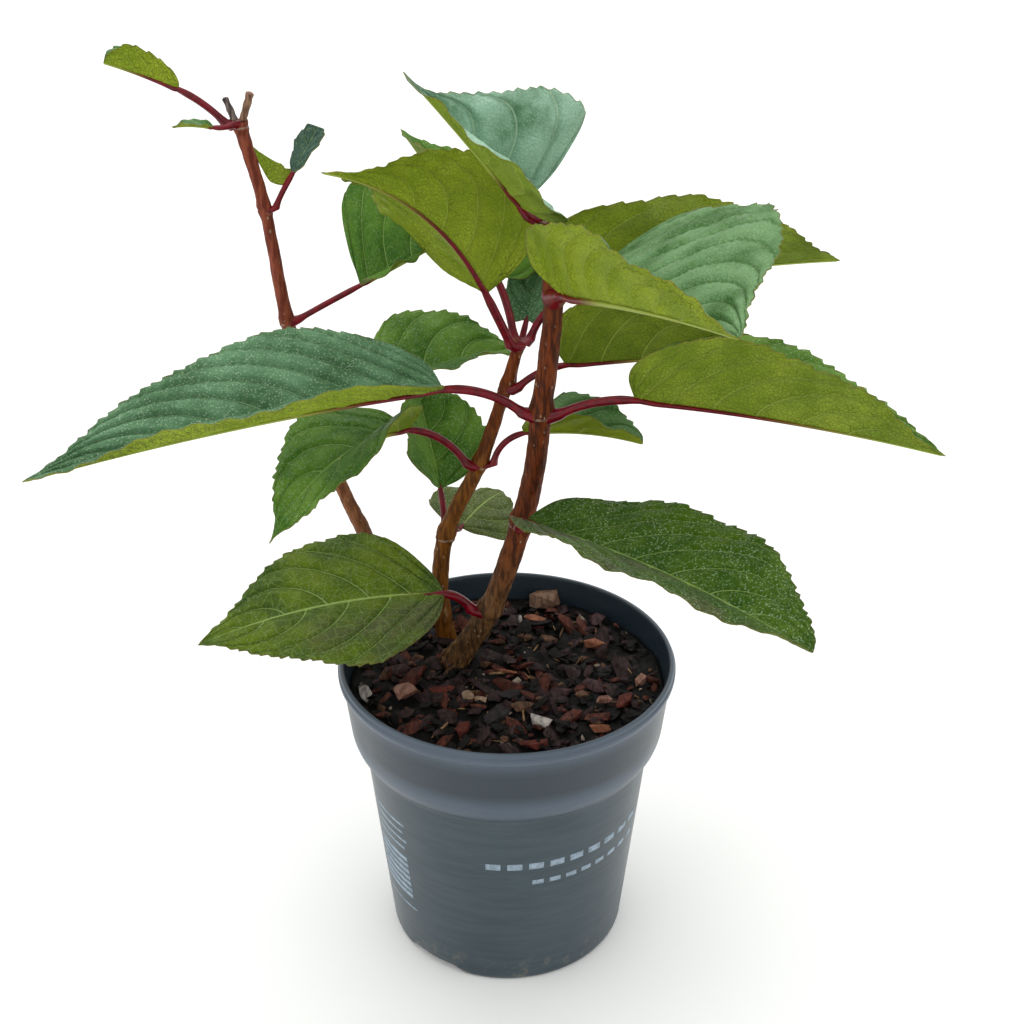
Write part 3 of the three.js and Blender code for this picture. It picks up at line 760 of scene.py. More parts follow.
def blade_mesh(leaf, number):
    """Points, quads, face slots and the corner maps of a closed blade."""
    t, halves = blade_sheet(leaf, number)
    left, right = halves
    across, top, low = blade_skins(halves)
    columns = len(HALF_COLUMNS)
    rows, width = top.shape[:2]
    grid = np.arange(rows * width).reshape(rows, width)
    under = grid + rows * width
    inset = np.concatenate([left[3][:, ::-1], right[3][:, 1:]], 1)
    left_phase = np.zeros((rows, width))
    left_phase[:, :columns] = left[2][:, ::-1]
    right_phase = np.zeros((rows, width))
    right_phase[:, columns - 1:] = right[2]
    quads, slots, leaf_map, vein_map = [], [], [], []

    def add(corners, slot, leaf_values, vein_values):
        faces = np.stack(corners, -1).reshape(-1, 4)
        quads.append(faces)
        slots.append(np.full(len(faces), slot))
        leaf_map.append(np.reshape(leaf_values, (-1, 2)))
        vein_map.append(np.reshape(vein_values, (-1, 2)))

    row, column = np.meshgrid(np.arange(rows - 1), np.arange(width - 1), indexing="ij")
    on_left = column < columns - 1
    for layer, order, slot in (
        (grid, ((0, 0), (0, 1), (1, 1), (1, 0)), UPPER_SLOT),
        (under, ((0, 0), (1, 0), (1, 1), (0, 1)), UNDER_SLOT),
    ):
        corners = [(row + a, column + b) for a, b in order]
        phases = [np.where(on_left, left_phase[c], right_phase[c]) for c in corners]
        leaf_values = [np.stack([t[r], across[c]], -1) for r, c in corners]
        vein_values = [np.stack([phase, inset[c]], -1) for phase, c in zip(phases, corners)]
        add([layer[c] for c in corners], slot, np.stack(leaf_values, 2), np.stack(vein_values, 2))

    def strip(a, b, c, d, start, end):
        """A row of quads that closes one edge between the skins."""
        place = np.stack([start, start, end, end], -1).reshape(-1)
        leaf_values = np.stack([place, np.ones_like(place)], -1)
        add([a, b, c, d], UNDER_SLOT, leaf_values, [(NO_VEIN[0], 0.0)] * len(place))

    ends = np.abs(across)
    strip(grid[:-1, 0], grid[1:, 0], under[1:, 0], under[:-1, 0], t[:-1], t[1:])
    strip(under[:-1, -1], under[1:, -1], grid[1:, -1], grid[:-1, -1], t[:-1], t[1:])
    strip(grid[0, 1:], grid[0, :-1], under[0, :-1], under[0, 1:], ends[1:], ends[:-1])
    strip(grid[-1, :-1], grid[-1, 1:], under[-1, 1:], under[-1, :-1], ends[:-1], ends[1:])
    points = np.concatenate([top.reshape(-1, 3), low.reshape(-1, 3)])
    return points, *(np.concatenate(part) for part in (quads, slots, leaf_map, vein_map))


def stalk_mesh(leaf):
    """The stalk, which runs on under the blade as its midrib: points, faces and place of each point."""
    line = leaf_line(leaf)
    stem_centre, stem_radius = joint(leaf["on"])
    w = np.concatenate([
        np.linspace(0, STALK_STEPS, max(12, int(leaf["stalk"] * 1.2)), endpoint=False),
        np.linspace(STALK_STEPS, len(line) - MIDRIB_END, MIDRIB_RINGS),
    ])
    on_stalk = w < STALK_STEPS
    centre = through(line, w)
    t = np.clip((w - STALK_STEPS) / BLADE_STEPS, 0, 1) ** BLADE_STEP_POWER
    back = np.clip(w / STALK_STEPS, 0, 1)
    stalk_rise = mix(leaf["stalk_rise"], leaf["rise"], back)
    rise = np.where(on_stalk, stalk_rise, leaf["rise"] - leaf["droop"] * t)
    bearing = leaf["stalk_bearing"] + stalk_turn(leaf) * back
    along = heading(bearing, rise)
    side = heading(bearing + 90, 0)
    above = np.cross(along, side)
    root = leaf["stalk_radius"]
    neck = root * STALK_NECK
    swelling = 1 + 0.35 * np.exp(-(back * leaf["stalk"] / 1.6) ** 2)
    stalk_radius = mix(root * swelling, neck, smooth(0.8, 1, back))
    radius = np.where(on_stalk, stalk_radius, mix(neck, MIDRIB_TIP_RADIUS, t**0.45))
    tilt = np.radians((leaf["left"] - leaf["right"]) / 2)
    up = above * math.cos(tilt) - side * math.sin(tilt)
    centre = centre - up * (radius * 0.55 * smooth(0, 0.08, t))[:, None]
    angle = 2 * np.pi * np.arange(STALK_SIDES) / STALK_SIDES
    flat = 1 - 0.18 * np.maximum(0, np.sin(angle))
    wide = side[:, None] * np.cos(angle)[None, :, None]
    tall = above[:, None] * (np.sin(angle) * flat)[None, :, None]
    rings = centre[:, None] + (wide + tall) * radius[:, None, None]
    inside = stem_centre + heading(leaf["stalk_bearing"], 0) * stem_radius * ROOT_DEPTH
    inside = inside - [0, 0, root * ROOT_DROP]
    share = np.linspace(0, 1, STALK_ROOT_RINGS, endpoint=False)[:, None]
    root_centre = inside + (centre[0] - inside) * share
    root_spokes = (rings[0] - centre[0])[None] * mix(ROOT_FLARE, 1.0, share)[..., None]
    points, faces = tube(np.concatenate([root_centre[:, None] + root_spokes, rings]))
    stretch = leaf["stalk"] / leaf["blade"]
    place = np.where(on_stalk, (back - 1) * stretch, t)
    place = np.concatenate([np.full(STALK_ROOT_RINGS, -stretch), place])
    return points, faces, np.concatenate([np.repeat(place, STALK_SIDES), place[:1], place[-1:]])


def redness(place, leaf):
    """1 on the stalk, falling to 0 where the red of the midrib ends."""
    end = leaf.get("red_to", 0.2)
    return float(1 - smooth(0.35 * end, end, place))


def make_leaf(name, leaf, number, materials):
    points, quads, slots, leaf_map, vein_map = blade_mesh(leaf, number)
    more, faces, place = stalk_mesh(leaf)
    corners = [(place[i], redness(place[i], leaf)) for face in faces for i in face]
    piece = new_piece(
        name.replace("leaf", "hydrangea_leaf"),
        np.concatenate([points, more]),
        quads.tolist() + [[i + len(points) for i in face] for face in faces],
        materials,
        np.concatenate([slots, np.full(len(faces), STALK_SLOT)]),
        replaces=[name],
        slot="leaf",
    )
    add_map(piece, "leaf_map", np.concatenate([leaf_map, corners]))
    add_map(piece, "vein_map", np.concatenate([vein_map, [NO_VEIN] * len(corners)]))


# The torn flap of leaf_back_3, from the leaf's foot to the twisted end: x, y, z and half width.
FLAP = [
    (-60.2, 25.0, 244.4, 0.8),
    (-62.4, 24.6, 243.4, 2.6),
    (-65.0, 24.2, 244.4, 3.0),
    (-67.4, 23.6, 246.8, 1.9),
    (-69.8, 22.6, 250.0, 0.9),
    (-72.0, 21.4, 253.0, 0.6),
    (-73.6, 20.2, 255.6, 0.45),
    (-74.8, 19.2, 258.0, 0.3),
]
FLAP_RINGS = 60
FLAP_TWIST = 150.0
FLAP_COLUMNS = 9


def make_flap(material):
    """A torn strip of blade, hanging on by its foot and twisted towards its thin end."""
    path = np.array([p[:3] for p in FLAP])
    places = np.linspace(0, len(FLAP) - 1, FLAP_RINGS)
    centres = through(path, places)
    half = np.interp(places, np.arange(len(FLAP)), [p[3] for p in FLAP])
    along = unit(np.gradient(centres, axis=0))
    turn = np.radians(FLAP_TWIST * (places / places[-1]) ** 1.5)[:, None]
    face = unit(np.cross(along, np.array([0.2, 1.0, 0.1])))
    cross = np.cross(along, face)
    wide = face * np.cos(turn) + cross * np.sin(turn)
    thick = np.cross(along, wide)
    share = np.concatenate([np.linspace(-1, 1, FLAP_COLUMNS), np.linspace(1, -1, FLAP_COLUMNS)])
    level = np.concatenate([np.ones(FLAP_COLUMNS), -np.ones(FLAP_COLUMNS)]) * BLADE_THICKNESS / 2
    cup = 0.35 * share**2
    rings = (
        centres[:, None] + wide[:, None] * (half[:, None] * share)[..., None]
        + thick[:, None] * (level + cup * half[:, None])[..., None]
    )
    points, faces = tube(rings)
    piece = new_piece("hydrangea_torn_flap", points, faces, [material], slot="leaf")
    corners = [(min(i // len(share), FLAP_RINGS) / FLAP_RINGS, 0.5) for f in faces for i in f]
    add_map(piece, "leaf_map", np.array(corners))
    add_map(piece, "vein_map", np.array([(3 * t, 2.0) for t, _ in corners]))


def make_leaves():
    stalk = stalk_material()
    tones = {
        tone: (blade_upper("leaf_upper_" + tone, look), blade_under("leaf_under_" + tone, look))
        for tone, look in TONES.items()
    }
    for number, (name, leaf) in enumerate(LEAVES.items(), 1):
        upper, under = tones[leaf["tone"]]
        make_leaf(name, leaf, number, [upper, under, stalk])
    make_flap(tones["torn"][1])


# ------------------------------------------------------------------ stems

STEM_SIDES = 56
STEM_RING_STEP = 0.6
STUB_SIDES = 20
STUB_RINGS = 26
SCAR_DROP = 1.5
LENTICEL = rgb(176, 150, 122)
FLAKE = rgb(164, 132, 92)
SCAR = rgb(158, 140, 128)
PLAIN_JOINT = "front_1"  # too near the gnarled foot for a ring scar of its own

# Bark of each stem: colours dark and light low down, the same higher up, and the heights between
# which one turns into the other.
BARK = {
    "front": (((56, 36, 18), (108, 76, 44)), ((58, 20, 0), (112, 50, 12)), 108, 150),
    "middle": (((78, 42, 4), (122, 74, 18)), ((84, 34, 6), (120, 58, 16)), 150, 180),
    "back": (((92, 52, 28), (134, 86, 54)), ((96, 38, 24), (136, 68, 46)), 130, 190),
    "dry_grey": (((58, 50, 48), (112, 102, 96)), ((58, 50, 48), (120, 108, 102)), 100, 200),
    "dry_tan": (((88, 62, 50), (146, 112, 90)), ((88, 62, 50), (152, 118, 96)), 100, 200),
}


def joint_scars(n, height, levels):
    """Pale, broken rings just below the leaf joints at these heights."""
    mask = 0.0
    for level in levels:
        mask = n.math("MAXIMUM", mask, n.ramp(n.away(height, level - SCAR_DROP), 0.5, 0.2))
    return n.math("MULTIPLY", mask, n.ramp(n.noise(1.4, detail=3), 0.42, 0.58))


def bark_material(name, joints=()):
    """Bark that changes with height, with lenticels, and flakes at the foot of a stem."""
    n = Nodes("bark_" + name)
    low, high, turn_low, turn_high = BARK[name]
    height = n.height()
    streak = n.noise(1.1, detail=5, place=n.stretched(1, 1, 0.16))
    patch = n.noise(6, detail=4)
    lower = n.mix(n.ramp(streak, 0.36, 0.64), rgb(*low[0]), rgb(*low[1]))
    upper = n.mix(n.ramp(streak, 0.36, 0.64), rgb(*high[0]), rgb(*high[1]))
    dots = n.ramp(n.cells(2.2, feature="F1", place=n.stretched(1, 1, 0.55)), 0.2, 0.1)
    dots = n.math("MULTIPLY", dots, n.ramp(n.noise(5, detail=2), 0.45, 0.6))
    flakes = n.ramp(n.noise(2.4, detail=5, place=n.stretched(1, 1, 0.4)), 0.6, 0.7)
    flakes = n.math("MULTIPLY", flakes, n.ramp(height, 150, 96))
    colour = n.mix(n.ramp(height, turn_low, turn_high), lower, upper)
    colour = n.mix(n.ramp(patch, 0.5, 0.8, 0, 0.35), colour, rgb(*low[0]))
    colour = n.over(colour, dots, 0.6, LENTICEL)
    colour = n.over(colour, flakes, 0.7, FLAKE)
    colour = n.over(colour, joint_scars(n, height, joints), 0.6, SCAR)
    n.bump((streak, 0.35), (dots, 0.25), (flakes, 0.3))
    return n.finish(colour, n.ramp(patch, 0.3, 0.7, 0.55, 0.75), specular=0.2)


def stem_radii(stations, places, centres):
    radii = np.interp(places, np.arange(len(stations)), [s[3] for s in stations])
    swell = np.ones(len(places))
    for x, y, z, r, node in stations:
        if node:
            away = np.linalg.norm(centres - [x, y, z], axis=1) / NODE_SPREAD
            swell = np.maximum(swell, 1 + (NODE_SWELL - 1) * np.exp(-(away**2)))
    return radii * swell


def make_stem(name, stations, number, material):
    """A tapering stem with ring scars at its joints, lenticels and fissured, knobbly bark."""
    points = np.array([s[:3] for s in stations])
    length = np.linalg.norm(np.diff(points, axis=0), axis=1).sum()
    places = np.linspace(0, len(stations) - 1, int(length / STEM_RING_STEP))
    centres = stem_curve(stations, places)
    alongs = unit(np.gradient(centres, axis=0))
    alongs[0] = (0, 0, 1)
    radii = stem_radii(stations, places, centres)
    rings = rings_round(centres, alongs, radii, STEM_SIDES)
    spokes = unit(rings - centres[:, None])
    squeezed = rings * [1, 1, 0.22]
    relief = 0.16 * grain(squeezed, 1.3, number) + 0.14 * grain(rings, 2.6, number + 0.3)
    relief = relief + 0.1 * grain(squeezed, 0.6, number + 0.6)
    foot = np.exp(-((centres[:, 2] - SOIL_LEVEL) / 9.0))[:, None]
    relief = relief + foot * (0.9 * grain(rings, 3.4, number + 0.8) + 0.35 * grain(rings, 1.5, number))
    for x, y, z, r, node in stations:
        if node and node != PLAIN_JOINT:
            rise = (rings - [x, y, z]) @ unit(np.array([0.1, 0.0, 1.0]))
            relief = relief + 0.24 * np.exp(-(((rise + 1.7) / 0.35) ** 2))
            relief = relief - 0.16 * np.exp(-(((rise + 0.9) / 0.35) ** 2))
    rings = rings + spokes * (relief * np.minimum(1, radii / 2.4)[:, None])[..., None]
    rings[0, :, 2] = SOIL_LEVEL + GAP
    points, faces = tube(rings)
    return new_piece("woody_" + name, points, faces, [material], replaces=[name], slot="bark")


def make_stub(name, stub, number, material):
    """A dead, dried twig end on the cut head of a stem."""
    centre, radius = joint(stub["on"])
    foot = centre + [0, 0, radius * 0.3] + heading(stub["bearing"], 0) * (stub["foot"] + GAP * 0.5)
    share = np.linspace(0, 1, STUB_RINGS)
    along = heading(stub["bearing"], stub["rise"])
    centres = foot + along * (share * stub["length"])[:, None]
    radii = mix(stub["foot"], stub["top"], share)
    radii[-1] *= 0.55
    rings = rings_round(centres, np.tile(along, (len(share), 1)), radii, STUB_SIDES)
    ridges = 0.22 * grain(rings * [1, 1, 0.4], 0.9, number)
    rings = rings + unit(rings - centres[:, None]) * ridges[..., None]
    points, faces = tube(rings)
    return new_piece("dry_" + name, points, faces, [material], replaces=[name], slot="bark")


def make_stems():
    for number, (name, stations) in enumerate(STEMS.items(), 1):
        joints = [z for x, y, z, radius, node in stations if node and node != PLAIN_JOINT]
        make_stem("stem_" + name, stations, number, bark_material(name, joints))
    make_stub("stub_grey", STUBS["stub_grey"], 11, bark_material("dry_grey"))
    make_stub("stub_brown", STUBS["stub_brown"], 12, bark_material("dry_tan"))


# ------------------------------------------------------------------ pot

POT_SEGMENTS = 288
BASE_ROUND_STEPS = 6

# The curve from the shoulder out to the collar's foot, as shares of the way out and of the way up.
SHOULDER_CURVE = [(0.03, 0.1), (0.12, 0.17), (0.33, 0.28), (0.57, 0.45), (0.8, 0.65), (0.94, 0.86)]
DRILL_DEPTH = 20.0
DRILL_SIDES = 32
PRINT_PROUD = 0.06
PRINT_SUNK = 0.3
PANEL_BEARING = 211


def pot_material():
    """Slate-grey plastic, dark inside with painted shade, a little lighter on the collar with painted light
    from above, and scuffed at the foot.
    """
    n = Nodes("pot_plastic")
    height = n.height()
    east, north, _ = n.split(n.place)
    cloud = n.noise(30, detail=3)
    wall = n.mix(n.ramp(cloud, 0.3, 0.7), rgb(36, 53, 62), rgb(44, 61, 70))
    # Painted light: the collar's colours are lighter than the wall's, as light from above falls on the
    # collar.
    collar = n.mix(n.ramp(cloud, 0.3, 0.7), rgb(66, 79, 94), rgb(74, 87, 102))
    turned = n.noise(2.0, detail=3, place=n.stretched(0.12, 0.12, 1.0))
    dust = n.ramp(n.cells(7.0, feature="F1"), 0.05, 0.02)
    dust = n.math("MULTIPLY", dust, n.ramp(n.noise(9, detail=2), 0.5, 0.62))
    reach = n.math("ADD", n.math("MULTIPLY", east, east), n.math("MULTIPLY", north, north))
    reach = n.math("DIVIDE", n.math("SQRT", reach), MM)
    # Painted shade: a mask over the inside of the wall above the collar's foot, where shade lies in the pot.
    inside = n.ramp(reach, RIM_RADIUS - 1.0, RIM_RADIUS - 1.9)
    inside = n.math("MULTIPLY", inside, n.ramp(height, COLLAR_FOOT, COLLAR_FOOT + 6))
    scuff = n.math("MULTIPLY", n.ramp(n.noise(5, detail=6, rough=0.7), 0.5, 0.66), n.ramp(height, 14, 3))
    # Painted light: the wall colour turns to the lighter collar colour between the shoulder and the collar's
    # foot.
    colour = n.mix(n.ramp(height, SHOULDER, COLLAR_FOOT), wall, collar)
    colour = n.mix(n.ramp(turned, 0.35, 0.65, 0, 0.12), colour, rgb(88, 102, 110))
    colour = n.over(colour, dust, 0.5, rgb(170, 178, 180))
    # Painted shade: the inside of the pot darkened to a near-black navy.
    colour = n.over(colour, inside, 0.75, rgb(14, 30, 38))
    colour = n.over(colour, scuff, 0.45, rgb(116, 112, 92))
    n.bump((n.noise(0.5, detail=2), 0.03), (turned, 0.06), (n.noise(24, detail=1), 0.5))
    return n.finish(colour, n.ramp(cloud, 0.3, 0.7, 0.3, 0.4), specular=0.5)


def straight(start, end, count, first=0.0):
    """Evenly spaced points on a straight stretch of the pot's outline, from a share of the way on."""
    return [tuple(mix(np.array(start), np.array(end), share)) for share in np.linspace(first, 1, count)]


def near(corner, offsets):
    """Points at small offsets from a corner of the pot's outline, to round it."""
    return [(corner[0] + out, corner[1] + up) for out, up in offsets]


def pot_profile():
    """Closed outline, radius and height, from the middle of the underside to the middle of the floor."""
    lip_foot = POT_HEIGHT - RIM_DEPTH
    shoulder = np.array([SHOULDER_RADIUS, SHOULDER])
    collar_foot = np.array([COLLAR_FOOT_RADIUS, COLLAR_FOOT])
    wall_foot = (BASE_RADIUS, BASE_ROUND)
    turns = [math.pi / 2 * k / BASE_ROUND_STEPS for k in range(1, BASE_ROUND_STEPS + 1)]
    base_round = [
        (mix(FOOT_OUTER_RADIUS, BASE_RADIUS, math.sin(a)), BASE_ROUND * (1 - math.cos(a))
         + 0.06 * (1 - a / (math.pi / 2)))
        for a in turns
    ]
    inward = np.array([-WALL, 0.0])
    return (
        [(0, 0), (6, 0), (PAD_RADIUS, 0), (PAD_RADIUS + 1, RECESS)]
        + [(r, RECESS) for r in (18, 22, 26, 30, FOOT_INNER_RADIUS - 0.7)]
        + near((FOOT_INNER_RADIUS, 0), [(-0.1, 0.25), (0.3, 0)])
        + near((FOOT_OUTER_RADIUS, 0), [(-0.3, 0), (0, 0.06)])
        + base_round
        + straight(wall_foot, shoulder, 30, first=0.04)
        + [tuple(shoulder + (collar_foot - shoulder) * share) for share in SHOULDER_CURVE]
        + straight(collar_foot, (COLLAR_TOP_RADIUS, lip_foot - 0.3), 14)
        + near((COLLAR_TOP_RADIUS, lip_foot), [(0.12, 0.05)])
        + near((RIM_RADIUS, lip_foot), [(-0.35, 0.45), (-0.12, 0.9), (0, 1.6)])
        + near((RIM_RADIUS, POT_HEIGHT), [(-0.02, -1.6), (-0.35, -1.45), (-0.42, -1.1)])
        + near((RIM_RADIUS, POT_HEIGHT), [(-0.5, -0.45), (-0.85, -0.08), (-1.2, 0)])
        + near((RIM_RADIUS - RIM_LIP, POT_HEIGHT), [(0.45, -0.08), (0.12, -0.4), (0, -1.1)])
        + straight((COLLAR_TOP_RADIUS - WALL, lip_foot), collar_foot + inward, 10)
        + [tuple((shoulder + collar_foot) / 2 + inward)]
        + straight(shoulder + inward, (BASE_RADIUS - WALL, FLOOR_TOP), 8)
        + [(r, FLOOR_TOP) for r in (32, 26, 18, 8, 0)]
    )


def notch_lift(x, y, z):
    """Height of a point near the ground, lifted where a notch's arch goes over it."""
    if math.hypot(x, y) < FOOT_INNER_RADIUS - 1.5 or z > NOTCH_HEIGHT:
        return z
    lift = z
    for bearing in NOTCH_BEARINGS:
        turn = math.radians(bearing)
        out = x * math.cos(turn) + y * math.sin(turn)
        aside = abs(-x * math.sin(turn) + y * math.cos(turn)) / (NOTCH_WIDTH / 2)
        if out > 0 and aside < 1:
            lift = max(lift, NOTCH_HEIGHT * min(1.0, (1 - aside**2) * 1.6) + 0.02 * z)
    return lift


def drain_drills():
    """A joined object of upright cylinders, where the pot's drain holes are."""
    bm = bmesh.new()
    for i in range(DRAIN_COUNT):
        bearing = math.radians((i + 0.5) * 360 / DRAIN_COUNT)
        drill = bmesh.ops.create_cone(
            bm, cap_ends=True, segments=DRILL_SIDES, radius1=DRAIN_RADIUS * MM, radius2=DRAIN_RADIUS * MM,
            depth=DRILL_DEPTH * MM,
        )
        place = Vector((math.cos(bearing), math.sin(bearing), 0)) * DRAIN_CIRCLE * MM
        bmesh.ops.translate(bm, verts=drill["verts"], vec=place)
    mesh = bpy.data.meshes.new("drills")
    bm.to_mesh(mesh)
    bm.free()
    drills = bpy.data.objects.new("drills", mesh)
    bpy.context.scene.collection.objects.link(drills)
    return drills


def make_pot():
    turn = 2 * np.pi * np.arange(POT_SEGMENTS) / POT_SEGMENTS
    rings = np.array([[(r * math.cos(a), r * math.sin(a), z) for a in turn] for r, z in pot_profile()[1:-1]])
    for ring in rings:
        for p in ring:
            p[2] = notch_lift(*p)
    points, faces = tube(rings)
    points[-2] = (0, 0, 0)
    points[-1] = (0, 0, FLOOR_TOP)
    pot = new_piece("nursery_pot", points, faces, [pot_material()], replaces=["pot"], slot="pot_plastic")
    drills = drain_drills()
    cutter = pot.modifiers.new("drains", "BOOLEAN")
    cutter.operation = "DIFFERENCE"
    cutter.object = drills
    apply_modifiers(pot)
    bpy.data.objects.remove(drills)


def apply_modifiers(piece):
    graph = bpy.context.evaluated_depsgraph_get()
    made = bpy.data.meshes.new_from_object(piece.evaluated_get(graph))
    piece.modifiers.clear()
    piece.data = made


def wall_radius(z):
    """Radius of the pot's outer wall below its shoulder."""
    return mix(BASE_RADIUS, SHOULDER_RADIUS, (z - BASE_ROUND) / (SHOULDER - BASE_ROUND))


def curved_patch(bearing, z, width, height):
    """A thin raised patch on the pot's wall: points and faces."""
    steps = max(2, int(width / 1.2))
    half = math.degrees(width / 2 / wall_radius(z))
    low, high = z - height / 2, z + height / 2
    corners = [(low, -PRINT_SUNK), (high, -PRINT_SUNK), (high, PRINT_PROUD), (low, PRINT_PROUD)]
    return tube(np.array([
        [(
            (wall_radius(level) + out) * math.cos(a),
            (wall_radius(level) + out) * math.sin(a),
            level,
        ) for level, out in corners]
        for a in np.radians(np.linspace(bearing - half, bearing + half, steps + 1))
    ]))


def join_shapes(shapes):
    """Many shapes, each its points and faces, as one."""
    points = []
    faces = []
    for more, sides in shapes:
        faces += [[i + len(points) for i in face] for face in sides]
        points += list(more)
    return points, faces


def make_marks():
    """Plain dashes and a plain pale panel where a nursery pot carries its print."""
    n = Nodes("pale_print")
    wear = n.ramp(n.noise(2.0, detail=5, rough=0.7), 0.4, 0.62)
    colour = n.over(rgb(150, 168, 184), wear, 0.6, rgb(96, 110, 120))
    n.bump((n.noise(0.5, detail=2), 0.03))
    ink = n.finish(colour, 0.5, specular=0.4)
    dashes = [(264.5 + 8.8 * k, 50.5, 4.6, 2.4) for k in range(9)]
    dashes += [(283 + 7.4 * k, 43.6, 3.6, 1.7) for k in range(8)]
    panel = [(PANEL_BEARING, 55.5 - 3.3 * k, 19.0 - 2.5 * (k % 2), 1.0) for k in range(4)]
    panel += [(PANEL_BEARING, 41.0 - 2.6 * k, 17.0, 1.7) for k in range(7)]
    panel += [(PANEL_BEARING, 20.0, 19.0, 0.7)]
    points, faces = join_shapes([curved_patch(*patch) for patch in dashes + panel])
    return new_piece("pot_dashes", points, faces, [ink], slot="pot_plastic")


# ------------------------------------------------------------------ compost

CHIP_COUNT = 900
SOIL_RINGS = 40
SOIL_SEGMENTS = 144
CHIP_CORNERS = 11


def wall_inside(z):
    """Radius inside the pot's collar."""
    share = (z - COLLAR_FOOT) / (POT_HEIGHT - RIM_DEPTH - COLLAR_FOOT)
    return mix(COLLAR_FOOT_RADIUS, COLLAR_TOP_RADIUS, share) - WALL


def soil_height(x, y):
    broad = 1.3 * noise.noise(Vector((x / 11, y / 11, 3.1)))
    lumps = 0.8 * noise.noise(Vector((x / 4, y / 4, 7.7)))
    return SOIL_LEVEL - 0.6 + broad + lumps


def compost_material(name, dark, light):
    n = Nodes(name)
    streak = n.noise(1.6, detail=5, place=n.stretched(1, 0.35, 1), warp=0.6)
    colour = n.mix(n.ramp(streak, 0.3, 0.7), rgb(*dark), rgb(*light))
    patch = n.noise(4, detail=3)
    colour = n.mix(n.ramp(patch, 0.5, 0.75, 0, 0.5), colour, rgb(*dark))
    n.bump((streak, 0.3), (n.noise(0.5, detail=3), 0.12))
    return n.finish(colour, n.ramp(patch, 0.3, 0.7, 0.6, 0.85), specular=0.2)


def make_soil():
    """The body of compost, which follows the inside of the pot and has an uneven top."""
    clear = WALL + GAP + 0.1
    profile = [
        (BASE_RADIUS - clear, FLOOR_TOP + GAP),
        (SHOULDER_RADIUS - clear, SHOULDER),
        (COLLAR_FOOT_RADIUS - clear - 0.3, COLLAR_FOOT),
    ]
    edge = wall_inside(SOIL_LEVEL) - GAP - 0.1
    turn = 2 * np.pi * np.arange(SOIL_SEGMENTS) / SOIL_SEGMENTS
    rings = [[(r * math.cos(a), r * math.sin(a), z) for a in turn] for r, z in profile]
    for k in range(SOIL_RINGS):
        r = edge * (1 - k / SOIL_RINGS) ** 0.9
        ring = [(r * math.cos(a), r * math.sin(a)) for a in turn]
        rings.append([(x, y, soil_height(x, y) + 0.5 * noise.noise(Vector((x, y, 1.3)))) for x, y in ring])
    points, faces = tube(np.array(rings))
    # Partly painted shade: the bed of compost fines is near-black, standing in for the shade in the gaps
    # between the chips.
    soil = compost_material("compost_fines_and_gap_shade", (2, 2, 2), (14, 10, 9))
    return new_piece("compost_bed", points, faces, [soil], replaces=["compost"], slot="compost")


def chip_hull(rng, centre, size, turn, tilt):
    """One flake of bark: an uneven flattened solid, as points and faces."""
    bm = bmesh.new()
    length, width, thick = size
    for k in range(CHIP_CORNERS):
        a = 2 * math.pi * (k + rng.uniform(-0.3, 0.3)) / CHIP_CORNERS
        reach = rng.uniform(0.72, 1.0) / 2
        level = rng.choice((-1, 1)) * rng.uniform(0.35, 1.0)
        bm.verts.new((length * reach * math.cos(a), width * reach * math.sin(a), level * thick / 2))
    for level in (-1, -1, 1, 1):
        x, y = length * rng.uniform(-0.25, 0.25), width * rng.uniform(-0.25, 0.25)
        bm.verts.new((x, y, level * thick / 2))
    made = bmesh.ops.convex_hull(bm, input=bm.verts)
    loose = [v for v in made["geom_interior"] if isinstance(v, bmesh.types.BMVert)]
    bmesh.ops.delete(bm, geom=loose, context="VERTS")
    bmesh.ops.recalc_face_normals(bm, faces=bm.faces)
    bm.verts.index_update()
    place = Matrix.Translation(centre) @ Matrix.Rotation(turn, 4, "Z") @ Matrix.Rotation(tilt, 4, "Y")
    points = [tuple(place @ v.co) for v in bm.verts]
    faces = [[v.index for v in f.verts] for f in bm.faces]
    bm.free()
    return points, faces


# Kinds of chip: colours dark and light, share of all the chips, and length, width and thickness.
CHIPS = {
    "dark": dict(colours=((4, 4, 4), (24, 19, 19)), share=0.4, size=(6.4, 3.8, 1.2)),
    "purple": dict(colours=((24, 14, 15), (62, 44, 46)), share=0.28, size=(7.6, 4.0, 1.3)),
    "red": dict(colours=((44, 18, 14), (96, 50, 40)), share=0.14, size=(8.2, 3.4, 1.4)),
    "brown": dict(colours=((58, 38, 27), (104, 74, 55)), share=0.08, size=(5.4, 3.0, 1.3)),
    "pale": dict(colours=((112, 98, 88), (164, 150, 138)), share=0.035, size=(3.0, 1.7, 0.9)),
    "straw": dict(colours=((100, 74, 50), (150, 118, 86)), share=0.065, size=(8.5, 0.7, 0.6)),
}

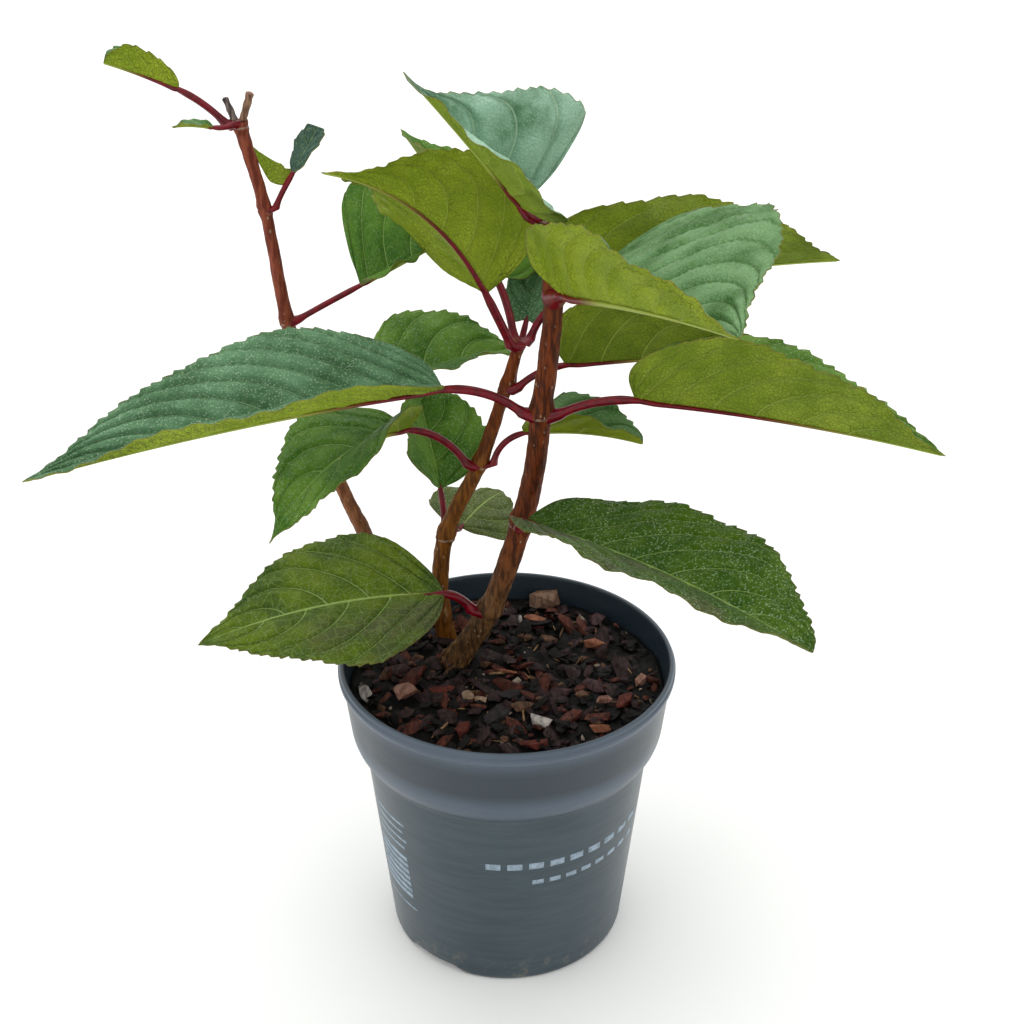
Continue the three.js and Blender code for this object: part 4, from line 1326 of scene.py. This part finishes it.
# The large chips that stand out: kind, x, y, length, width, thickness, bearing.
BIG_CHIPS = [
    ("brown", 12.8, 44.0, 12.0, 8.5, 4.5, 10),
    ("red_tan", 29.1, 17.3, 9.0, 4.6, 2.8, 160),
    ("pink", -31.3, -9.5, 10.0, 7.5, 3.2, 50),
    ("white", -43.6, -9.5, 10.5, 4.6, 2.6, 105),
    ("cream", -12.0, -11.0, 6.0, 3.6, 2.2, 120),
    ("cream", -8.0, -14.0, 5.5, 2.6, 1.8, 140),
    ("white", 10.6, -24.3, 10.5, 6.4, 3.0, 115),
    ("red_tan", 27.7, -29.0, 7.5, 3.2, 2.0, 175),
    ("pink", 42.0, -3.0, 6.5, 4.0, 2.4, 60),
    ("pink", 30.0, -14.0, 8.5, 3.4, 2.0, 35),
    ("red_tan", 0.0, 2.0, 10.0, 2.0, 1.4, 150),
    ("purple_big", 30.0, 33.0, 9.0, 6.5, 2.4, 70),
    ("red_tan", 9.0, 33.0, 11.0, 4.0, 1.8, 145),
    ("white", 4.5, 32.0, 7.5, 1.6, 1.4, 95),
    ("dark_big", -3.0, -22.0, 12.0, 8.0, 2.6, 70),
    ("dark_big", 2.0, -11.0, 11.0, 5.5, 2.0, 30),
    ("red_big", -21.0, -8.0, 12.0, 5.0, 1.8, 170),
    ("red_big", -13.0, -29.0, 9.0, 5.0, 2.4, 70),
    ("red_big", 8.0, -36.0, 9.5, 5.0, 2.2, 175),
    ("purple_big", 16.0, -9.0, 11.0, 5.0, 2.0, 20),
    ("purple_big", 27.0, -6.0, 9.0, 5.0, 2.2, 150),
    ("red_big", 36.0, -15.0, 10.0, 5.0, 2.4, 60),
    ("purple_big", -34.0, 2.0, 9.0, 4.6, 2.2, 20),
]
BIG_COLOURS = {
    "brown": ((84, 62, 50), (130, 102, 84)),
    "red_tan": ((110, 60, 42), (152, 100, 76)),
    "pink": ((108, 72, 62), (158, 118, 104)),
    "white": ((112, 104, 102), (186, 178, 174)),
    "cream": ((134, 108, 88), (184, 156, 134)),
    "purple_big": ((44, 28, 32), (78, 54, 58)),
    "dark_big": ((20, 17, 18), (48, 42, 44)),
    "red_big": ((62, 24, 18), (104, 48, 38)),
}


def join_chips(name, chips, colours):
    material = compost_material("bark_" + name, *colours)
    piece = new_piece("chips_" + name, *join_shapes(chips), [material], slot="compost")
    piece.data.polygons.foreach_set("use_smooth", np.zeros(len(piece.data.polygons), bool))


def make_chips():
    rng = random.Random(7)
    edge = wall_inside(SOIL_LEVEL) - 1.0
    for name, kind in CHIPS.items():
        chips = []
        for _ in range(int(CHIP_COUNT * kind["share"])):
            grow = rng.lognormvariate(-0.28, 0.36)
            size = [d * grow * rng.uniform(0.75, 1.25) for d in kind["size"]]
            room = edge - size[0] * 0.45
            reach = room * math.sqrt(rng.random())
            place = rng.uniform(0, 2 * math.pi)
            x, y = reach * math.cos(place), reach * math.sin(place)
            z = soil_height(x, y) + rng.uniform(-0.5, 1.7)
            tilt = rng.gauss(0, 0.42)
            chips.append(chip_hull(rng, (x, y, z), size, rng.uniform(0, math.pi), tilt))
        join_chips(name, chips, kind["colours"])
    for kind, colours in BIG_COLOURS.items():
        chips = []
        for which, x, y, length, width, thick, bearing in BIG_CHIPS:
            if which == kind:
                place = (x, y, soil_height(x, y) + 0.9 + thick * 0.35)
                turn = math.radians(bearing)
                chips.append(chip_hull(rng, place, (length, width, thick), turn, rng.gauss(0, 0.16)))
        join_chips("large_" + kind, chips, colours)


# ------------------------------------------------------------------ floor, light and camera


FLOOR_REACH = 4.0  # metres
CAMERA_PLACE = (1.63, -404.25, 361.2)
CAMERA_PITCH = 27.7  # degrees below level
CAMERA_SENSOR = 36.0
CAMERA_LENS = 54.14
SKY = (0.985, 0.98, 0.965)
SKY_STRENGTH = 0.62

# Wide patches of sky: bearing and rise of each, its spread in degrees, its strength and its colour.
SUNS = {
    "overhead": (100, 68, 70, 1.47, (0.985, 0.985, 0.97)),
    "left": (200, 32, 60, 0.6, (1, 1, 1)),
    "right": (-25, 30, 60, 0.55, (1, 1, 1)),
    "front": (265, 40, 70, 0.4, (1, 1, 1)),
}


def make_floor():
    mesh = bpy.data.meshes.new("floor")
    r = FLOOR_REACH
    mesh.from_pydata([(-r, -r, 0), (r, -r, 0), (r, r, 0), (-r, r, 0)], [], [(0, 1, 2, 3)])
    n = Nodes("floor_paper")
    n.bump((n.noise(3), 0.02))
    mesh.materials.append(n.finish(rgb(250, 251, 250), 0.9, specular=0.1))
    floor = bpy.data.objects.new("floor", mesh)
    bpy.context.scene.collection.objects.link(floor)


def make_light():
    world = bpy.data.worlds.new("studio")
    world.use_nodes = True
    background = world.node_tree.nodes["Background"]
    background.inputs[0].default_value = (*SKY, 1)
    background.inputs[1].default_value = SKY_STRENGTH
    bpy.context.scene.world = world
    for name, (bearing, rise, spread, power, colour) in SUNS.items():
        light = bpy.data.lights.new(name, "SUN")
        light.angle = math.radians(spread)
        light.energy = power
        light.color = colour
        lamp = bpy.data.objects.new(name, light)
        lamp.rotation_euler = Vector(heading(bearing, rise)).to_track_quat("Z", "Y").to_euler()
        bpy.context.scene.collection.objects.link(lamp)
    bpy.context.scene.view_settings.view_transform = "Standard"


def make_camera():
    camera = bpy.data.cameras.new("camera")
    camera.sensor_width = CAMERA_SENSOR
    camera.lens = CAMERA_LENS
    eye = bpy.data.objects.new("camera", camera)
    eye.location = Vector(CAMERA_PLACE) * MM
    eye.rotation_euler = (math.radians(90 - CAMERA_PITCH), 0, 0)
    bpy.context.scene.collection.objects.link(eye)
    bpy.context.scene.camera = eye


make_camera()
make_pot()
make_marks()
make_soil()
make_chips()
make_stems()
make_leaves()
make_floor()
make_light()
